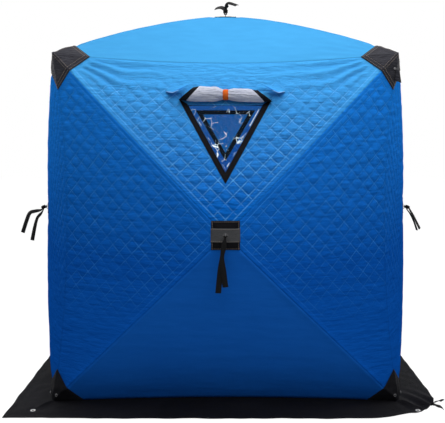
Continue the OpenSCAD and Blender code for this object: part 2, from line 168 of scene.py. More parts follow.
SHAPES = {
    "upper": cloth_shape((-1, 1), (1, 1), (0, EAVE_IN, -EAVE_DOWN)),
    "right": cloth_shape((1, 1), (1, 0), (-CORNER_IN, CORNER_IN, 0)),
    "lower": cloth_shape((1, 0), (-1, 0), (0, HEM_IN, 0)),
    "left": cloth_shape((-1, 0), (-1, 1), (CORNER_IN, CORNER_IN, 0)),
    "roof": cloth_shape((1, 1), (-1, 1), (0, EAVE_IN, -EAVE_DOWN), roof=True),
}


def facing_of(q, side):
    return turned(q, SHAPES[side]["axis"])


def softened(s):
    return (s + math.sqrt(s * s + HUB_SOFT * HUB_SOFT)) / 2


def climb(t):
    low = softened(-HUB_FLAT)
    return (softened(t - HUB_FLAT) - low) / (softened(1 - HUB_FLAT) - low)


def skin(side, a, b, lift=0.0):
    s = SHAPES[side]
    t = a + b
    k = climb(t)
    foot = s["hub"] * (1 - t) + s["first"] * a + s["second"] * b
    out = s["axis"] * (s["rise"] * (1 - k) + 4 * s["bow"] * k * (1 - k))
    away = s["axis"] * (1 - t) + s["out_first"] * a + s["out_second"] * b
    return foot + out + s["draw"] * (4 * a * b) + away * lift


def wall_shares(x, z):
    """The panel and shares of a point of the front wall, from its place seen from the front."""
    across = x / HALF
    up = (z - MID) / (WALL_H / 2)
    if up >= abs(across):
        for _ in range(4):
            a = (up - across) / 2
            b = (up + across) / 2
            up = (z - MID + 4 * a * b * EAVE_DOWN) / (WALL_H / 2)
        return "upper", (up - across) / 2, (up + across) / 2
    if across >= abs(up):
        return "right", (across + up) / 2, (across - up) / 2
    if -up >= abs(across):
        return "lower", (-up + across) / 2, (-up - across) / 2
    return "left", (-across - up) / 2, (-across + up) / 2


def wall_point(x, z, lift):
    side, a, b = wall_shares(x, z)
    return skin(side, a, b, lift)


def roof_point(x, y, lift):
    q = 0
    while -y < abs(x) - 1e-9 and q < 3:
        x, y = y, -x
        q += 1
    return turned(q, skin("roof", (-y + x) / BASE, (-y - x) / BASE, lift))


def window_reach(x, z):
    """Distance outside the window's outline, negative inside it."""
    half = (z - WINDOW_TOP + WINDOW_H) * math.tan(WINDOW_LEAN)
    return max(z - WINDOW_TOP, (abs(x) - half) * math.cos(WINDOW_LEAN))


def window_corners(margin):
    top = WINDOW_TOP - margin
    point = WINDOW_TOP - WINDOW_H + margin / math.sin(WINDOW_LEAN)
    across = (top - point) * math.tan(WINDOW_LEAN)
    return [(-across, top), (across, top), (0.0, point)]


# Mesh makers
def mesh_of(bm, name="made"):
    mesh = bpy.data.meshes.new(name)
    bm.to_mesh(mesh)
    bm.free()
    return mesh


def whole(bm):
    return bm.verts[:] + bm.edges[:] + bm.faces[:]


def flat_grid(columns, rows):
    """A flat sheet from nought to one both ways."""
    bm = bmesh.new()
    bmesh.ops.create_grid(bm, x_segments=columns, y_segments=rows, size=0.5)
    bmesh.ops.translate(bm, verts=bm.verts[:], vec=(0.5, 0.5, 0))
    return bm


def place_mesh(bm, place, facing=None):
    """Moves a flat sheet's points to their places and keeps the flat ones as its map."""
    sheet_map = bm.loops.layers.uv.new("Cloth")
    for face in bm.faces:
        face.smooth = True
        for loop in face.loops:
            loop[sheet_map].uv = loop.vert.co.xy
    for v in bm.verts:
        v.co = place(v.co.x, v.co.y)
    bm.normal_update()
    if facing is not None:
        total = Vector((0, 0, 0))
        for face in bm.faces:
            total += face.normal * face.calc_area()
        if total.dot(facing) < 0:
            bmesh.ops.reverse_faces(bm, faces=bm.faces[:])
    return mesh_of(bm)


def quad_sheet(columns, rows, place, facing=None):
    return place_mesh(flat_grid(columns, rows), place, facing)


def half_sheet(steps, place, facing=None, hole=None):
    """A triangle of cloth: the half of a grid where the two shares add up to less than one."""
    bm = flat_grid(steps, steps)
    bmesh.ops.bisect_plane(
        bm, geom=whole(bm), dist=1e-6, plane_co=(0.5, 0.5, 0), plane_no=(1, 1, 0), clear_outer=True
    )
    if hole:
        cut_hole(bm, [Vector(p) for p in hole])
    return place_mesh(bm, place, facing)


def cut_hole(bm, corners):
    """Cuts a triangle out of a flat sheet."""
    middle = (corners[0] + corners[1] + corners[2]) / 3
    sides = []
    for start, end in zip(corners, corners[1:] + corners[:1]):
        across = Vector((start.y - end.y, end.x - start.x)).normalized()
        if across.dot(middle - start) > 0:
            across = -across
        sides.append((start, across))
        bmesh.ops.bisect_plane(
            bm, geom=whole(bm), dist=1e-6, plane_co=start.to_3d(), plane_no=across.to_3d()
        )
    gone = []
    for face in bm.faces:
        c = face.calc_center_median().xy
        if all((c - start).dot(across) < 0 for start, across in sides):
            gone.append(face)
    bmesh.ops.delete(bm, geom=gone, context="FACES")


def ring_sheet(corners, width, place, facing, skip_top=False):
    """A band of tape round a triangle."""
    bm = bmesh.new()
    face = bm.faces.new([bm.verts.new((x, z, 0)) for x, z in corners])
    bm.normal_update()
    bmesh.ops.inset_individual(bm, faces=[face], thickness=width, use_even_offset=True)
    bmesh.ops.delete(bm, geom=[face], context="FACES_ONLY")
    if skip_top:
        top = max(c[1] for c in corners)
        gone = [f for f in bm.faces if f.calc_center_median().y > top - width]
        bmesh.ops.delete(bm, geom=gone, context="FACES")
    bmesh.ops.subdivide_edges(bm, edges=bm.edges[:], cuts=10, use_grid_fill=True)
    return place_mesh(bm, place, facing)


def piece(name, meshes, materials, thickness=0.0, offset=-1.0, node=None):
    """One object out of several meshes, welded where they meet, with a live thickness."""
    bm = bmesh.new()
    for mesh in meshes:
        bm.from_mesh(mesh)
        bpy.data.meshes.remove(mesh)
    bmesh.ops.remove_doubles(bm, verts=bm.verts[:], dist=2e-5)
    obj = bpy.data.objects.new(name, mesh_of(bm, name))
    scene.collection.objects.link(obj)
    for material in materials:
        obj.data.materials.append(material)
    if thickness:
        wall = obj.modifiers.new("Thickness", "SOLIDIFY")
        wall.thickness = thickness
        wall.offset = offset
    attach(obj, "root")
    if node:
        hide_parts(node)
    return obj


def solid_mesh(bm, smooth=True):
    bmesh.ops.recalc_face_normals(bm, faces=bm.faces[:])
    for face in bm.faces:
        face.smooth = smooth
    return mesh_of(bm)


def full_spin(bm, geom, axis, steps):
    bmesh.ops.spin(
        bm, geom=geom, cent=(0, 0, 0), axis=axis, angle=2 * math.pi, steps=steps, use_merge=True
    )


def spun_section(segments, section, axis, steps):
    """A closed ring: a circle, shaped by a function, turned once round an axis."""
    bm = bmesh.new()
    bmesh.ops.create_circle(bm, segments=segments, radius=1.0, cap_ends=False)
    for v in bm.verts:
        v.co = section(v.co.x, v.co.y)
    full_spin(bm, whole(bm), axis, steps)
    return bm


def stitch_mesh(rows, length=0.006, gap=0.004, wide=0.0022, high=0.0012):
    """Rows of thread along lines of points on the cloth."""
    bm = bmesh.new()
    size = Matrix.Diagonal((length, wide, high, 1))
    for row in rows:
        done = 0.0
        for start, end in zip(row, row[1:]):
            way = end - start
            reach = way.length
            if reach < 1e-6:
                continue
            turn = way.to_track_quat("X", "Z").to_matrix().to_4x4()
            while done < reach:
                at = Matrix.Translation(start + way * (done / reach))
                bmesh.ops.create_cube(bm, size=1.0, matrix=at @ turn @ size)
                done += length + gap
            done -= reach
    return solid_mesh(bm, smooth=False)


# Shader helpers
def add_node(tree, kind, **values):
    made = tree.nodes.new(kind)
    for key, value in values.items():
        setattr(made, key, value)
    return made


def feed(tree, socket, value):
    """Gives a socket a number, a colour or the output of another node."""
    if isinstance(value, (int, float)):
        socket.default_value = value
    elif isinstance(value, tuple):
        socket.default_value = (*value, 1.0)
    else:
        tree.links.new(value, socket)


def math_node(tree, operation, first, second=None):
    made = add_node(tree, "ShaderNodeMath", operation=operation)
    feed(tree, made.inputs[0], first)
    if second is not None:
        feed(tree, made.inputs[1], second)
    return made.outputs[0]


def held_node(tree, value):
    """Keeps a value between nought and one."""
    made = add_node(tree, "ShaderNodeClamp")
    feed(tree, made.inputs[0], value)
    return made.outputs[0]


def ramp(tree, value, start, slope):
    """Nought up to the start, then up to one at the given slope."""
    return held_node(tree, math_node(tree, "MULTIPLY", math_node(tree, "SUBTRACT", value, start), slope))


def close_to(tree, distance, width):
    """One on a line, nought past the given width beside it."""
    return held_node(tree, math_node(tree, "SUBTRACT", 1.0, math_node(tree, "DIVIDE", distance, width)))


def line_at(tree, value, mark, width):
    """One where a value comes to a mark, nought past the given width beside it."""
    off = math_node(tree, "ABSOLUTE", math_node(tree, "SUBTRACT", value, mark))
    return close_to(tree, off, width)


def blend_node(tree, share, first, second):
    made = add_node(tree, "ShaderNodeMix", data_type="RGBA", blend_type="MIX")
    feed(tree, made.inputs[0], share)
    feed(tree, made.inputs[6], first)
    feed(tree, made.inputs[7], second)
    return made.outputs[2]


def object_place(tree):
    return add_node(tree, "ShaderNodeTexCoord").outputs["Object"]


def parted(tree, vector):
    """The three numbers of a vector."""
    apart = add_node(tree, "ShaderNodeSeparateXYZ")
    feed(tree, apart.inputs[0], vector)
    return apart.outputs


def sheet_place(tree):
    return add_node(tree, "ShaderNodeUVMap", uv_map="Cloth").outputs[0]


def noise_node(tree, place, scale, detail=2.0):
    made = add_node(tree, "ShaderNodeTexNoise")
    feed(tree, made.inputs["Vector"], place)
    feed(tree, made.inputs["Scale"], scale)
    feed(tree, made.inputs["Detail"], detail)
    return made


def add_bump(tree, shader, height, strength, distance):
    bump = add_node(tree, "ShaderNodeBump")
    feed(tree, bump.inputs["Strength"], strength)
    feed(tree, bump.inputs["Distance"], distance)
    feed(tree, bump.inputs["Height"], height)
    feed(tree, shader.inputs["Normal"], bump.outputs[0])


# Shader groups of the cloth
def new_group(name, inputs, outputs):
    tree = bpy.data.node_groups.new(name, "ShaderNodeTree")
    for label, value in inputs:
        socket = tree.interface.new_socket(name=label, in_out="INPUT", socket_type="NodeSocketFloat")
        socket.default_value = value
    for label in outputs:
        tree.interface.new_socket(name=label, in_out="OUTPUT", socket_type="NodeSocketFloat")
    return tree, tree.nodes.new("NodeGroupInput").outputs, tree.nodes.new("NodeGroupOutput").inputs


def cloth_grain_group():
    """Fine woven grain, soft puckers across the cloth, slow changes of tone, and the rise up the wall, a mask
    for painted light high on the walls.
    """
    inputs = [("Grain", 600.0), ("Pucker", 9.0)]
    tree, given, out = new_group("Cloth Grain", inputs, ["Tone", "Height", "Painted_Light_Rise"])
    place = object_place(tree)
    # The rise up the wall carries painted light: lighter high up, where the overhead lamp falls.
    feed(tree, out["Painted_Light_Rise"], ramp(tree, parted(tree, place)[2], start=0.75, slope=1 / 0.95))
    grain = noise_node(tree, place, given["Grain"], detail=1.0)
    stretch = add_node(tree, "ShaderNodeMapping")
    stretch.inputs["Scale"].default_value = (1.0, 1.0, 4.5)
    feed(tree, stretch.inputs["Vector"], place)
    pucker = noise_node(tree, stretch.outputs[0], given["Pucker"], detail=5.0)
    slow = noise_node(tree, place, scale=2.2)
    both = math_node(tree, "ADD", math_node(tree, "MULTIPLY", grain.outputs[0], 0.25), pucker.outputs[0])
    tone = math_node(tree, "MULTIPLY", math_node(tree, "ADD", both, slow.outputs[0]), 0.44)
    feed(tree, out["Tone"], tone)
    feed(tree, out["Height"], both)
    return tree


def quilt_lines_group():
    """Sewn lines of the quilting along both shares of the cloth's map, with painted shade in the dips beside
    them, and the seams beside the poles. The stretched cloth hides them past Fade and low on the walls."""
    inputs = [("Cells", CELLS), ("Width", 0.05), ("Fade", 0.84)]
    tree, given, out = new_group("Quilt Lines", inputs, ["Line", "Hollow_Shade"])
    a, b, _ = parted(tree, sheet_place(tree))
    lines = []
    hollow_shades = []
    for share in (a, b):
        cells = math_node(tree, "MULTIPLY", share, given["Cells"])
        middle = math_node(tree, "SUBTRACT", math_node(tree, "FRACT", cells), 0.5)
        near = math_node(tree, "SUBTRACT", 0.5, math_node(tree, "ABSOLUTE", middle))
        lines.append(close_to(tree, near, given["Width"]))
        hollow_shades.append(close_to(tree, near, width=0.24))
    line = math_node(tree, "MAXIMUM", *lines)
    hollow_shade = math_node(tree, "MAXIMUM", *hollow_shades)
    left = math_node(tree, "SUBTRACT", given["Fade"], math_node(tree, "ADD", a, b))
    eave = ramp(tree, left, start=0.0, slope=6.0)
    edge = math_node(tree, "MULTIPLY", math_node(tree, "MINIMUM", a, b), given["Cells"])
    inside = ramp(tree, edge, start=0.5, slope=8.0)
    place = object_place(tree)
    low = ramp(tree, parted(tree, place)[2], start=0.4, slope=1.7)
    patchy = ramp(tree, noise_node(tree, place, scale=14.0).outputs[0], start=0.25, slope=2.2)
    for share in (eave, inside, low, patchy):
        line = math_node(tree, "MULTIPLY", line, share)
        hollow_shade = math_node(tree, "MULTIPLY", hollow_shade, share)
    sleeve = line_at(tree, edge, 0.44, given["Width"])
    sleeve = math_node(tree, "MULTIPLY", sleeve, math_node(tree, "MULTIPLY", low, 0.7))
    feed(tree, out["Line"], math_node(tree, "MAXIMUM", line, sleeve))
    feed(tree, out["Hollow_Shade"], hollow_shade)
    return tree


def edge_seam_group():
    """The sewn edge of a panel, opposite its hub, and the reach from the hub to it, a mask for painted light
    towards that edge.
    """
    tree, given, out = new_group("Edge Seam", [("Start", 0.992), ("Slope", 250.0)], ["Seam", "Reach"])
    a, b, _ = parted(tree, sheet_place(tree))
    reach = math_node(tree, "ADD", a, b)
    feed(tree, out["Reach"], ramp(tree, reach, start=0.15, slope=1.3))
    feed(tree, out["Seam"], ramp(tree, reach, given["Start"], given["Slope"]))
    return tree


BLUE_THREAD = (0.07, 0.4, 1.0)
PALE_THREAD = (0.16, 0.53, 1.0)
# Painted shade, laid in the dips beside the quilting's sewn lines
HOLLOW_SHADE_BLUE = (0.002, 0.05, 0.26)
SEAM_BLUE = (0.002, 0.03, 0.14)
GRAIN = cloth_grain_group()
QUILT = quilt_lines_group()
SEAM = edge_seam_group()


# Materials
def new_material(name, roughness, specular=0.5):
    material = bpy.data.materials.new(name)
    material.use_nodes = True
    tree = material.node_tree
    shader = tree.nodes["Principled BSDF"]
    shader.inputs["Roughness"].default_value = roughness
    shader.inputs["Specular IOR Level"].default_value = specular
    return material, tree, shader


def grouped(tree, group, **values):
    made = add_node(tree, "ShaderNodeGroup", node_tree=group)
    for key, value in values.items():
        made.inputs[key].default_value = value
    return made.outputs


def laid_over(tree, colour, mask, strength, over):
    """A colour with another laid over it where a mask shows."""
    return blend_node(tree, math_node(tree, "MULTIPLY", mask, strength), colour, over)


def cloth_material(
    name, dark, light, roughness=0.65, bump=0.25, grain=600.0, pucker=9.0, specular=0.0,
    quilted=0.0, cells=CELLS, fade=1.1, thread=BLUE_THREAD, seamed=False, edge=None, top=None
):
    """Cloth between two tones. It may have quilting with painted shade beside its sewn lines, a sewn edge,
    and painted light: a lighter tone towards that edge or high up.
    """
    material, tree, shader = new_material(name, roughness, specular)
    texture = grouped(tree, GRAIN, Grain=grain, Pucker=pucker)
    colour = blend_node(tree, texture["Tone"], dark, light)
    # Painted light: lighter high on the wall.
    if top:
        colour = blend_node(tree, texture["Painted_Light_Rise"], colour, top)
    if seamed:
        seam = grouped(tree, SEAM)
        # Painted light: lighter from the hub towards the sewn edge.
        if edge:
            colour = blend_node(tree, seam["Reach"], colour, edge)
        colour = laid_over(tree, colour, seam["Seam"], 0.12, SEAM_BLUE)
    if quilted:
        lines = grouped(tree, QUILT, Cells=cells, Width=quilted, Fade=fade)
        # Painted shade in the dips beside the sewn lines
        colour = laid_over(tree, colour, lines["Hollow_Shade"], 0.4, HOLLOW_SHADE_BLUE)
        colour = laid_over(tree, colour, lines["Line"], 0.9, thread)
    feed(tree, shader.inputs["Base Color"], colour)
    add_bump(tree, shader, texture["Height"], bump, distance=0.012)
    return material


# One blue cloth in toned copies by panel, with painted light: the roof and upper panels lighter, where the
# overhead lamp falls, the upper panel lighter still towards the eave and the side walls lighter high up.
roof_lit_blue = cloth_material("Roof cloth", (0.04, 0.24, 0.5), (0.065, 0.34, 0.66), bump=0.15, seamed=True)
# Painted light: the edge tone makes the upper panel lighter towards the eave.
upper_lit_blue = cloth_material(
    "Upper quilted cloth", (0.003, 0.12, 0.53), (0.008, 0.197, 0.77), bump=1.0, pucker=15.0,
    quilted=0.07, fade=0.94, thread=PALE_THREAD, seamed=True, edge=(0.066, 0.385, 0.82)
)
# Painted light: the top tone makes the side walls lighter high up.
side_blue = cloth_material(
    "Side quilted cloth", (0.002, 0.076, 0.41), (0.006, 0.132, 0.61), bump=0.6, pucker=13.0,
    quilted=0.045, seamed=True, top=(0.016, 0.29, 1.0)
)
lower_blue = cloth_material("Lower cloth", (0.006, 0.11, 0.5), (0.013, 0.17, 0.7), bump=0.2, seamed=True)
# Painted light: a lighter copy of the blue cloth for the closed flaps, standing in for light on them.
flap_lit_blue = cloth_material(
    "Flap cloth", (0.008, 0.25, 0.62), (0.015, 0.34, 0.86), bump=0.6, pucker=15.0,
    quilted=0.05, cells=FLAP_CELLS, thread=PALE_THREAD
)
# Painted highlight for the lower rims of the rolled flap's free corners.
ear_rim_highlight = cloth_material("Painted rim highlight", (0.2, 0.42, 0.75), (0.35, 0.6, 0.95))
black_cloth = cloth_material(
    "Black cloth", (0.002, 0.002, 0.004), (0.05, 0.05, 0.064),
    bump=1.1, grain=260.0, pucker=34.0, specular=0.15
)
skirt_cloth = cloth_material(
    "Skirt cloth", (0.0015, 0.0015, 0.002), (0.01, 0.01, 0.013), bump=1.0, pucker=8.0, specular=0.06
)
black_tape = cloth_material(
    "Black tape", (0.002, 0.002, 0.003), (0.008, 0.008, 0.01), grain=900.0, specular=0.05
)
grey_webbing = cloth_material(
    "Grey webbing", (0.015, 0.016, 0.018), (0.125, 0.125, 0.13), grain=240.0, pucker=60.0, specular=0.1
)
# The white lining's blue-grey dark tone is painted shade of its folds, laid where the noise falls; the fine
# grain is its own.
white_lining = cloth_material(
    "White lining", (0.3, 0.36, 0.62), (1.0, 1.0, 1.0), 0.5, bump=1.5, pucker=34.0, specular=0.3
)
orange_tape = cloth_material("Orange tape", (0.45, 0.05, 0.008), (0.85, 0.2, 0.03), grain=900.0, bump=0.6)
# Painted shade: darker copies of the black cloth and the tan thread for the lower caps, which sit low in
# shade.
low_cap_shaded_cloth = cloth_material(
    "Low cap shaded cloth", (0.002, 0.002, 0.003), (0.015, 0.015, 0.018), specular=0.05
)
shaded_tan_thread = cloth_material("Shaded tan thread", (0.01, 0.01, 0.012), (0.03, 0.028, 0.026), 0.7)
tan_thread = cloth_material("Tan thread", (0.2, 0.16, 0.13), (0.42, 0.35, 0.3), 0.7)


def ribbed_material(name, dark, light):
    """Webbing with ribs along the strap's map."""
    material, tree, shader = new_material(name, roughness=0.65, specular=0.1)
    ribs = add_node(tree, "ShaderNodeTexWave", bands_direction="X")
    ribs.inputs["Scale"].default_value = 4.0
    feed(tree, ribs.inputs["Vector"], sheet_place(tree))
    feed(tree, shader.inputs["Base Color"], blend_node(tree, ribs.outputs["Fac"], dark, light))
    add_bump(tree, shader, ribs.outputs["Fac"], strength=0.4, distance=0.001)
    return material


def film_material(name, dark, light):
    """Clear creased film: faint all over, with painted glints along its creases and beside its edges."""
    material, tree, shader = new_material(name, roughness=0.08)
    place = object_place(tree)
    bend = noise_node(tree, place, scale=9.0)
    shift = add_node(tree, "ShaderNodeVectorMath", operation="MULTIPLY_ADD")
    feed(tree, shift.inputs[0], bend.outputs["Color"])
    shift.inputs[1].default_value = (0.05, 0.05, 0.05)
    feed(tree, shift.inputs[2], place)
    creases = add_node(tree, "ShaderNodeTexVoronoi", feature="DISTANCE_TO_EDGE")
    creases.inputs["Scale"].default_value = 25.0
    feed(tree, creases.inputs["Vector"], shift.outputs[0])
    crease = creases.outputs["Distance"]
    # Painted glints: white and near opaque along some of the creases.
    thin = ramp(tree, close_to(tree, crease, width=0.04), start=0.35, slope=3.0)
    picked = ramp(tree, noise_node(tree, place, scale=17.0).outputs[0], start=0.53, slope=18.0)
    line = math_node(tree, "MULTIPLY", thin, picked)
    a, b, _ = parted(tree, sheet_place(tree))
    beside = line_at(tree, math_node(tree, "MINIMUM", a, b), 0.058, width=0.01)
    glint = math_node(tree, "MULTIPLY", beside, ramp(tree, bend.outputs[0], start=0.5, slope=14.0))
    line = math_node(tree, "MAXIMUM", line, glint)
    feed(tree, shader.inputs["Base Color"], blend_node(tree, line, dark, light))
    alpha = math_node(tree, "ADD", math_node(tree, "MULTIPLY", line, 0.97), 0.012)
    feed(tree, shader.inputs["Alpha"], alpha)
    add_bump(tree, shader, crease, strength=0.8, distance=0.004)
    return material


def flat_film_material(name, dark, light):
    """The film of the closed windows, smooth behind its flap."""
    material, tree, shader = new_material(name, roughness=0.12, specular=0.4)
    haze = noise_node(tree, object_place(tree), scale=12.0).outputs[0]
    feed(tree, shader.inputs["Base Color"], blend_node(tree, haze, dark, light))
    feed(tree, shader.inputs["Alpha"], math_node(tree, "MULTIPLY", haze, 0.06))
    return material


def hard_material(name, dark, light, roughness, metal=0.0, scale=60.0):
    material, tree, shader = new_material(name, roughness)
    shader.inputs["Metallic"].default_value = metal
    wear = noise_node(tree, object_place(tree), scale).outputs[0]
    feed(tree, shader.inputs["Base Color"], blend_node(tree, wear, dark, light))
    add_bump(tree, shader, wear, strength=0.1, distance=0.001)
    return material


strap_webbing = ribbed_material("Black webbing", (0.0008, 0.0008, 0.001), (0.005, 0.005, 0.006))
# The film's light tone is its painted glint.
clear_film = film_material("Clear film", (0.08, 0.3, 0.5), (0.85, 1.0, 1.0))
flat_film = flat_film_material("Flat clear film", (0.06, 0.42, 0.7), (0.2, 0.66, 0.95))
fibreglass = hard_material("Fibreglass rod", (0.02, 0.02, 0.022), (0.06, 0.06, 0.065), 0.35)
moulded_black = hard_material("Moulded black", (0.008, 0.008, 0.008), (0.03, 0.03, 0.03), 0.5, scale=240.0)
dark_metal = hard_material("Dark metal", (0.08, 0.08, 0.085), (0.16, 0.16, 0.165), 0.35, 1.0)
plated_metal = hard_material("Plated metal", (0.45, 0.45, 0.46), (0.75, 0.75, 0.76), 0.3, 1.0)

for node_name, finish in (
    ("wall_poles", fibreglass), ("roof_poles", fibreglass), ("pole_hubs", moulded_black),
    ("corner_sockets", moulded_black), ("hub_eyes", dark_metal), ("skirt_eyelets", plated_metal),
    ("closed_window_panes", flat_film),
):
    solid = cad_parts[node_name]
    solid.data.materials.clear()
    solid.data.materials.append(finish)


# Cloth panels
POLE_RIDGE = 0.0035
POLE_RIDGE_W = 0.017
POLE_SLEEVE = 0.018
PATCH_CLEAR = 0.008
CAP_CLEAR = 0.109
TAPE_CLEAR = 0.004
WANDER = 0.0016
EAVE_WANDER = 0.0022
HEM_WANDER = 0.0025
HEM_WANDER_H = 0.22
PUCKER_SHARE = 0.9
EAVE_QUILT_LOSS = 0.85
LOW_QUILT_SHARE = 0.08
FOLD = 0.006
FOLD_TURNS = 28
FOLD_REACH = (0.09, 0.6)
FOLD_PEAK = 0.16
FOLD_SPREAD = 0.17
ROOF_FOLD_SHARE = 0.4
QUILT_STEPS = 6 * CELLS
PLAIN_STEPS = 96


def top_folds(a, b):
    """Folds that run out of the upper corner caps along the eave."""
    total = 0.0
    for near, far in ((a, b), (b, a)):
        reach = 1 - near
        if FOLD_REACH[0] <= reach <= FOLD_REACH[1]:
            turn = far / reach
            fold = math.sin(turn * FOLD_TURNS + 3 * ripple(near * 6, far * 6, 2.0))
            total += FOLD * bell(reach - FOLD_PEAK, FOLD_SPREAD) * ease(turn - 0.1, 0.3) * fold
    return total


def cloth_height(q, side, a, b, p):
    """Height of the cloth over its skin: lines over the poles, quilting, folds and soft waves."""
    t = a + b
    pole = min(a, b) * POLE_L
    seam = (1 - t) * WALL_H / 2
    past_patch = ease((t - PATCH - PATCH_CLEAR) * HALF, 0.03)
    clear = past_patch * ease((1 - max(a, b) - CAP_CLEAR) * BASE, 0.05)
    height = POLE_RIDGE * bell(pole, POLE_RIDGE_W) * clear
    loose = clear * ease(seam, 0.02)
    if side == "upper":
        loose *= ease(window_reach(p.x, p.z) - TAPE_CLEAR, 0.03)
    wander = WANDER * ripple(p.x * 3.5 + 9 * q, p.y * 3.5, p.z * 24)
    if side in QUILTED:
        quilt = loose * ease(pole - POLE_SLEEVE, 0.022)
        if side == "upper":
            quilt *= 1 - EAVE_QUILT_LOSS * ease(t - 0.72, 0.22)
            wander += EAVE_WANDER * ripple(p.x * 3 + q, p.y * 3, p.z * 46) * ease(t - 0.62, 0.2)
        else:
            quilt *= LOW_QUILT_SHARE + (1 - LOW_QUILT_SHARE) * ease(p.z - 0.3, 0.8)
        puff = UPPER_PUFF if side == "upper" else SIDE_PUFF
        pucker = PUCKER_SHARE * ripple(p.x * 15, p.y * 15 + 5 * q, p.z * 58)
        height += quilt * puff * (cushion(a, b, CELLS) + pucker)
    if side in ("upper", "roof"):
        height += loose * top_folds(a, b) * (ROOF_FOLD_SHARE if side == "roof" else 1.0)
    if side == "lower":
        wave = HEM_WANDER * ripple(p.x * 2.5 + q, p.y * 2.5, p.z * 42)
        wander += wave * math.exp(-p.z / HEM_WANDER_H)
    return height + loose * wander


def panel_mesh(q, side):
    hole = None
    if side == "upper":
        hole = [wall_shares(x, z)[1:] for x, z in window_corners(TAPE)]

    def place(a, b):
        return turned(q, skin(side, a, b, cloth_height(q, side, a, b, skin(side, a, b))))

    steps = QUILT_STEPS if side in QUILTED else PLAIN_STEPS
    return half_sheet(steps, place, facing_of(q, side), hole)


def cloth_panel(q, side):
    node = f"{WALLS[q]}_{side}_panel"
    if side == "roof":
        node = f"roof_{WALLS[q]}_panel"
    elif (q, side) == (DOOR_WALL, "left"):
        node = "back_door_panel"
    name = node.replace("panel", "cloth")
    material = {"roof": roof_lit_blue, "upper": upper_lit_blue, "lower": lower_blue}.get(side, side_blue)
    cloth = piece(name, [panel_mesh(q, side)], [material], CLOTH, node=node)


for wall in range(4):
    for panel_side in SIDES:
        cloth_panel(wall, panel_side)


# Corner caps. A sector is a wall, a panel of it and which of the panel's two corners the cap covers.
CAP_WRINKLE = 0.006
CAP_WRINKLE_SCALE = 32
SEAM_ROW_IN = 0.05
SEAM_ROW_START = 0.08
SEAM_ROW_L = 0.76


def cap_place(sector, share, u, v, lift):
    q, side, at = sector
    near = 1 - share * (u + v)
    a, b = (near, share * u) if at == 1 else (share * u, near)
    p = turned(q, skin(side, a, b, lift))
    wrinkle = CAP_WRINKLE * (0.5 + 0.5 * noise.noise(p * CAP_WRINKLE_SCALE))
    return turned(q, skin(side, a, b, lift + wrinkle * ease(1 - u - v, 0.2)))


def upper_sectors(q):
    p = q + 3
    walls = [(q, "upper", 1), (q, "left", 2), (p, "right", 1), (p, "upper", 2)]
    return walls + [(p, "roof", 1), (q, "roof", 2)]


def lower_sectors(q):
    p = q + 3
    return [(p, "lower", 1), (p, "right", 2), (q, "left", 1), (q, "lower", 2)]


def cap_pieces(name, node, sectors_of, share, edge_rows, seam_rows, cloth, thread):
    sheets = []
    rows = []
    for sector in [s for q in range(4) for s in sectors_of(q)]:
        def lay(u, v, lift=CAP_LIFT, s=sector):
            return cap_place(s, share, u, v, lift)

        def edge_row(along, reach):
            return lay(reach * (1 - along), reach * along, CAP_LIFT + THREAD_LIFT)

        def seam_row(along):
            return lay(SEAM_ROW_IN, SEAM_ROW_START + SEAM_ROW_L * along, CAP_LIFT + THREAD_LIFT)

        sheets.append(half_sheet(24, lay, facing_of(*sector[:2])))
        for reach in edge_rows:
            rows.append(even_row(8, lambda along, r=reach: edge_row(along, r)))
        if seam_rows:
            rows.append(even_row(8, seam_row))
    piece(name, sheets, [cloth], CAP_T, node=node)
    piece(name + "_stitching", [stitch_mesh(rows)], [thread])


cap_pieces(
    "upper_corner_caps", "top_corner_caps", upper_sectors, TOP_CAP, (0.95, 0.86), True,
    black_cloth, tan_thread
)
# The lower caps in their painted shade.
cap_pieces(
    "lower_corner_caps", "bottom_corner_caps", lower_sectors, LOW_CAP, (0.93,), False,
    low_cap_shaded_cloth, shaded_tan_thread
)

# Hub patches and their webbing bands
PATCH_ROW = 0.92
BAND_L = 0.143
BAND_W = 0.068
BAND_ROW = 0.136 / BAND_L
BAND_ROW_AT = 0.43


def hub_patch(q, side):
    """A quarter of a patch, and the row of thread along its edge."""
    def lay(u, v, lift=PATCH_LIFT):
        return turned(q, skin(side, PATCH * u, PATCH * v, lift))

    def thread(along):
        return lay(PATCH_ROW * (1 - along), PATCH_ROW * along, PATCH_LIFT + THREAD_LIFT)

    return half_sheet(12, lay, facing_of(q, side)), even_row(8, thread)


def wall_band(q):
    """A band across a wall's patch, and the rows of thread along both its edges."""
    def lay(u, v, lift=BAND_LIFT):
        return turned(q, wall_point((u - 0.5) * BAND_L, MID + (v - 0.5) * BAND_W, lift))

    rows = []
    for level in (0.5 - BAND_ROW_AT, 0.5 + BAND_ROW_AT):
        def thread(along, v=level):
            return lay(0.5 + (along - 0.5) * BAND_ROW, v, BAND_LIFT + THREAD_LIFT)

        rows.append(even_row(10, thread))
    return quad_sheet(20, 12, lay, outward(q)), rows


def roof_band_place(u, v):
    return roof_point((u - 0.5) * BAND_L, (v - 0.5) * BAND_W, BAND_LIFT)


patches = []
hub_rows = []
for wall in range(4):
    for panel_side in SIDES:
        quarter, patch_row = hub_patch(wall, panel_side)
        patches.append(quarter)
        hub_rows.append(patch_row)
bands = []
for wall in range(4):
    band, band_rows = wall_band(wall)
    bands.append(band)
    hub_rows += band_rows
bands.append(quad_sheet(20, 12, roof_band_place, UP))
piece("hub_patch_cloth", patches, [black_tape], PATCH_T, node="hub_patches")
piece("hub_webbing", bands, [grey_webbing], PATCH_T, node="hub_webbing_bands")
piece("hub_patch_stitching", [stitch_mesh(hub_rows)], [tan_thread])

